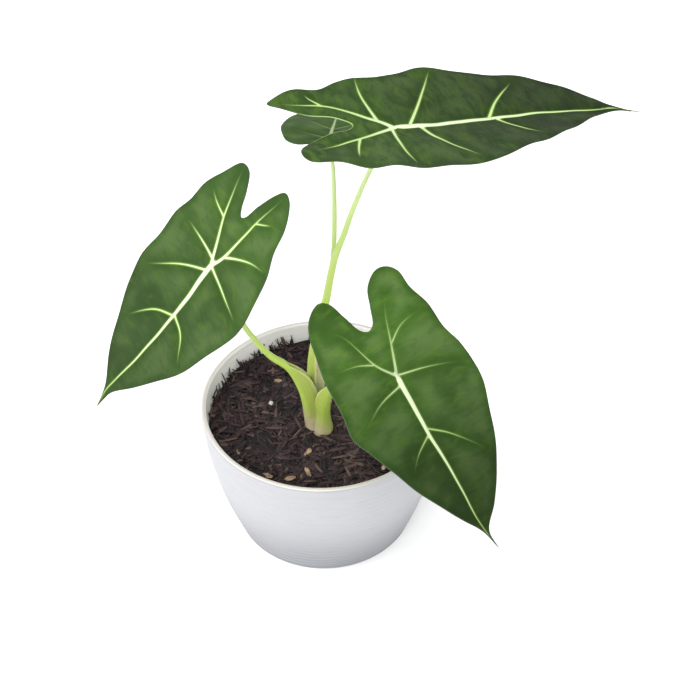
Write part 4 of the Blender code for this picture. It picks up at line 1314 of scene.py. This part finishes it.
class MakePot(bpy.types.Operator):
    """Turn the pot and give it its glaze"""
    bl_idname = "alocasia.make_pot"
    bl_label = "Pot"

    def execute(self, context):
        s = settings("pot")
        foot, lip, step = 1.5 * MM, 0.9 * MM, 0.6 * MM
        climb = np.arange(foot, s.height - lip, step)
        profile = [(0.0, 0.0), (s.base_radius * 0.5, 0.0), (s.base_radius - 2.0 * foot, 0.0)]
        for turn in np.linspace(0.0, math.pi / 2, 5):
            base = pot_radius(foot, s) - foot
            profile.append((base + foot * math.sin(turn), foot - foot * math.cos(turn)))
        band = s.height - 5.5 * MM
        profile += [(pot_radius(z, s) - 0.3 * MM * float(ease(band - z, 0.0, 0.8 * MM)), z)
                    for z in climb[1:]]
        # The lip's last three points face inwards, and so does all that follows them.
        inside_from = len(profile) + 5
        middle = s.rim_radius - s.wall / 2
        for turn in np.linspace(0.0, math.pi, 9):
            profile.append((middle + s.wall / 2 * math.cos(turn),
                            s.height - lip + lip * math.sin(turn)))
        inner = np.arange(s.height - lip, s.floor + 3.0 * MM, -step)
        profile += [(pot_radius(z, s) - s.wall, z) for z in inner[1:]]
        corner = pot_radius(s.floor, s) - s.wall
        profile += [(corner - 0.4 * MM, s.floor + 1.0 * MM), (corner - 2.0 * MM, s.floor),
                    (corner * 0.5, s.floor), (0.0, s.floor)]
        verts, faces = turned(profile, s.segments)
        inside_rows = np.repeat(np.arange(len(profile) - 2) >= inside_from, s.segments)
        heights = verts[:, 2]
        within = np.r_[0.0, inside_rows.astype(float), 1.0]
        wall = ease(heights, 2.0 * MM, 6.0 * MM) * (1.0 - 0.75 * within)
        wall *= 1.0 - ease(heights, s.height - 3.5 * MM, s.height - 1.5 * MM)
        numbers = {"inside": within, "wall": wall}
        glaze = glaze_finish(s)
        piece = new_piece("white_pot", verts, faces, glaze, numbers)
        face_out(piece)
        recipe, result = ridge_recipe(s, glaze)
        recipe.bake(piece, result)
        hand_over(piece, ["pot"])
        return {"FINISHED"}


class MakeMix(bpy.types.Operator):
    """Fill the pot with dark fibrous mix"""
    bl_idname = "alocasia.make_mix"
    bl_label = "Potting mix"
    # Height in millimetres, lumps for each metre, and place in the noise.
    rough = ((1.7, 70.0, 1.0), (1.0, 260.0, 4.0), (0.5, 700.0, 9.0))
    rings = 72
    around = 220
    highest_at = math.radians(100.0)
    mound_aside = (-7.0 * MM, -6.0 * MM)
    mound_spread = 5.0 * MM

    def execute(self, context):
        s = settings("mix")
        refinish(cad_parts["potting_mix"], mix_finish(s, "mix_packed", False))
        reach = MIX_RADIUS + 0.2 * MM
        top = [(reach * row / self.rings, 0.0) for row in range(1, self.rings + 1)]
        profile = [(0.0, 0.0)] + top + [(reach, -1.0), (reach * 0.5, -1.0), (0.0, -1.0)]
        verts, faces = turned(profile, self.around)
        radius = np.hypot(verts[:, 0], verts[:, 1])
        backward = np.arctan2(verts[:, 1], verts[:, 0]) - self.highest_at
        heap = s.heap * ease(radius, 0.62 * reach, reach) * ease(np.cos(backward), -0.55, 0.75)
        mound = s.mound * np.exp(-((verts[:, 0] - CROWN.x - self.mound_aside[0]) ** 2
                                   + (verts[:, 1] - CROWN.y - self.mound_aside[1]) ** 2)
                                 / self.mound_spread**2)
        for index, (x, y, side) in enumerate(verts):
            rough = 0.0
            if side == 0.0:
                rough = MM * sum(high * noise.noise((x * scale, y * scale, level))
                                 for high, scale, level in self.rough)
                rough += heap[index] + mound[index]
            verts[index, 2] = mix_height(radius[index]) + rough + (side * 2.5 + 0.3) * MM
        grow = np.array([pot_radius(z, settings("pot")) for z in verts[:, 2]])
        grow = (grow - settings("pot").wall - 0.3 * MM) / reach
        verts[:, :2] *= np.where(radius > 0.97 * reach, np.minimum(grow, 1.05), 1.0)[:, None]
        up_side = (np.arange(len(verts)) <= self.rings * self.around).astype(float)
        off_corm = ease(np.hypot(verts[:, 0] - CROWN.x, verts[:, 1] - CROWN.y),
                        CORM_RADIUS - 0.5 * MM, CORM_RADIUS + 1.5 * MM)
        small = up_side * off_corm * (1.0 - ease(radius, reach - 1.5 * MM, reach - 0.8 * MM))
        numbers = {
            "shred": up_side * off_corm * (1.0 - ease(radius, reach - 4.5 * MM, reach - 1.5 * MM)),
            "flake": small,
            "crumb": small,
            "strand": up_side * ease(radius, reach - 9.0 * MM, reach - 3.0 * MM)
                      * (0.25 + 0.75 * ease(np.cos(backward), -0.3, 0.6)),
        }
        bed = new_piece("mix_bed", verts, faces, mix_finish(s, "mix_loose", False), numbers)
        face_out(bed)
        area = math.pi * reach**2
        tinted = mix_finish(s, "mix_shreds", True)
        # Kind, number, length, half width, least and most tilt, and whether it stands.
        kinds = (("shred", s.shreds, s.shred_length, s.shred_width, (1.25, 1.75), False),
                 ("flake", s.flakes, 4.5 * MM, 0.9 * MM, (0.9, 1.9), False),
                 ("crumb", s.crumbs, s.crumb_size * 1.6, s.crumb_size * 0.8, (0.0, 3.0), False),
                 ("strand", s.strands, 8.0 * MM, 0.5 * MM, (-0.9, 0.9), True))
        for number, (kind, amount, length, width, tilt, stands) in enumerate(kinds):
            piece = bpy.data.objects.new(f"mix_{kind}s", bed.data.copy())
            bpy.context.scene.collection.objects.link(piece)
            recipe, result = scatter_recipe(kind, tinted, amount / area, length, width, tilt,
                                            stands, s.seed + 20 * number)
            recipe.bake(piece, result)
            hand_over(piece, [])
        hand_over(bed, [])
        return {"FINISHED"}


class MakeCorm(bpy.types.Operator):
    """Shape the corm and finish the roots"""
    bl_idname = "alocasia.make_corm"
    bl_label = "Corm and roots"

    def execute(self, context):
        make_corm(settings("stem"))
        fleshy = root_finish(settings("stem"))
        for name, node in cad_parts.items():
            if name.startswith("root_"):
                refinish(node, fleshy)
        return {"FINISHED"}


class MakeStems(bpy.types.Operator):
    """Grow the four stems"""
    bl_idname = "alocasia.make_stems"
    bl_label = "Stems"

    def execute(self, context):
        material = stem_finish(settings("stem"))
        for name, leaf in LEAVES.items():
            make_stem(name, leaf, material)
        return {"FINISHED"}


class MakeBlades(bpy.types.Operator):
    """Grow the four leaf blades"""
    bl_idname = "alocasia.make_blades"
    bl_label = "Leaf blades"

    def execute(self, context):
        s = settings("blade")
        material = blade_finish(s)
        for name, leaf in LEAVES.items():
            make_blade(name, leaf, s, material)
        return {"FINISHED"}


class MakeLoosePieces(bpy.types.Operator):
    """Lay the bark chips and perlite grains on the mix"""
    bl_idname = "alocasia.make_loose_pieces"
    bl_label = "Bark and perlite"

    def execute(self, context):
        s = settings("mix")
        bark, perlite = bark_finish(s), perlite_finish(s)
        for name in sorted(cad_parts):
            number = int(name.rsplit("_", 1)[-1]) if name[-1].isdigit() else 0
            if name.startswith("bark_chip_"):
                make_lump(f"chip_{number}", name, bark, 100 + number, 14)
            elif name.startswith("perlite_"):
                make_lump(f"grain_{number}", name, perlite, 200 + number, 0)
        return {"FINISHED"}


# The camera's place is counted from the middle of the pot's lip.
CAMERA_PLACE = (0.0141, -0.5696, 0.5623)
CAMERA_RIGHT = (1.0, -0.007, -0.008)
CAMERA_UP = (0.011, 0.680, 0.733)


class SetStage(bpy.types.Operator):
    """Set the floor, the lights and the camera"""
    bl_idname = "alocasia.set_stage"
    bl_label = "Stage"

    def execute(self, context):
        s = settings("stage")
        scene = context.scene
        scene.view_settings.view_transform = "Standard"
        world = bpy.data.worlds.new("studio")
        world.use_nodes = True
        sky = Nodes(world.node_tree)
        seen = sky.node("ShaderNodeLightPath", out="Is Camera Ray")
        strength = sky.node("ShaderNodeMapRange", None,
                            {"Value": seen, "To Min": s.ambient, "To Max": 1.0})
        background = world.node_tree.nodes["Background"].inputs
        sky.plug(background["Color"], (1.0, 1.0, 1.0))
        sky.plug(background["Strength"], strength)
        scene.world = world
        corners = [(x * s.reach, y * s.reach, 0.0)
                   for x, y in ((-1, -1), (1, -1), (1, 1), (-1, 1))]
        floor = new_piece("floor", corners, [(0, 1, 2, 3)], floor_finish(s))
        for name, place, power in (("key", (-1.2, -0.2, 0.6), s.key),
                                   ("front", (0.0, -1.1, 0.95), s.front),
                                   ("top", (0.2, -0.25, 1.5), s.top)):
            data = bpy.data.lights.new(name, "SUN")
            data.energy = power
            data.angle = math.radians(s.spread)
            lamp = bpy.data.objects.new(name, data)
            lamp.location = place
            lamp.rotation_euler = Vector(place).to_track_quat("Z", "Y").to_euler()
            scene.collection.objects.link(lamp)
        camera = bpy.data.objects.new("camera", bpy.data.cameras.new("camera"))
        camera.data.sensor_width = 36.0
        camera.data.lens = s.lens
        camera.data.clip_start = 0.01
        up = Vector(CAMERA_UP)
        back = Vector(CAMERA_RIGHT).cross(up).normalized()
        right = up.cross(back).normalized()
        turn = Matrix((right, back.cross(right), back)).transposed()
        camera.matrix_world = turn.to_4x4()
        camera.location = Vector(CAMERA_PLACE) + Vector((0.0, 0.0, POT_HIGH.z))
        scene.collection.objects.link(camera)
        scene.camera = camera
        return {"FINISHED"}


OPERATORS = (SetStage, MakePot, MakeMix, MakeCorm, MakeStems, MakeBlades, MakeLoosePieces)


class AlocasiaPanel(bpy.types.Panel):
    """The plant's pieces and settings"""
    bl_idname = "VIEW3D_PT_alocasia"
    bl_label = "Alocasia"
    bl_space_type = "VIEW_3D"
    bl_region_type = "UI"
    bl_category = "Alocasia"

    def draw(self, context):
        for operator in OPERATORS:
            self.layout.operator(operator.bl_idname)
        for name, group in SETTINGS.items():
            box = self.layout.box()
            box.label(text=name.capitalize())
            for key in group.__annotations__:
                box.prop(settings(name), key)


def register():
    for group in (*SETTINGS.values(), *OPERATORS, AlocasiaPanel):
        bpy.utils.register_class(group)
    for name, group in SETTINGS.items():
        setattr(bpy.types.Scene, f"alocasia_{name}", bpy.props.PointerProperty(type=group))


def unregister():
    for name in SETTINGS:
        delattr(bpy.types.Scene, f"alocasia_{name}")
    for group in reversed((*SETTINGS.values(), *OPERATORS, AlocasiaPanel)):
        bpy.utils.unregister_class(group)


def main():
    register()
    bpy.ops.alocasia.set_stage()
    bpy.ops.alocasia.make_pot()
    bpy.ops.alocasia.make_mix()
    bpy.ops.alocasia.make_corm()
    bpy.ops.alocasia.make_stems()
    bpy.ops.alocasia.make_blades()
    bpy.ops.alocasia.make_loose_pieces()


if __name__ == "__main__":
    main()
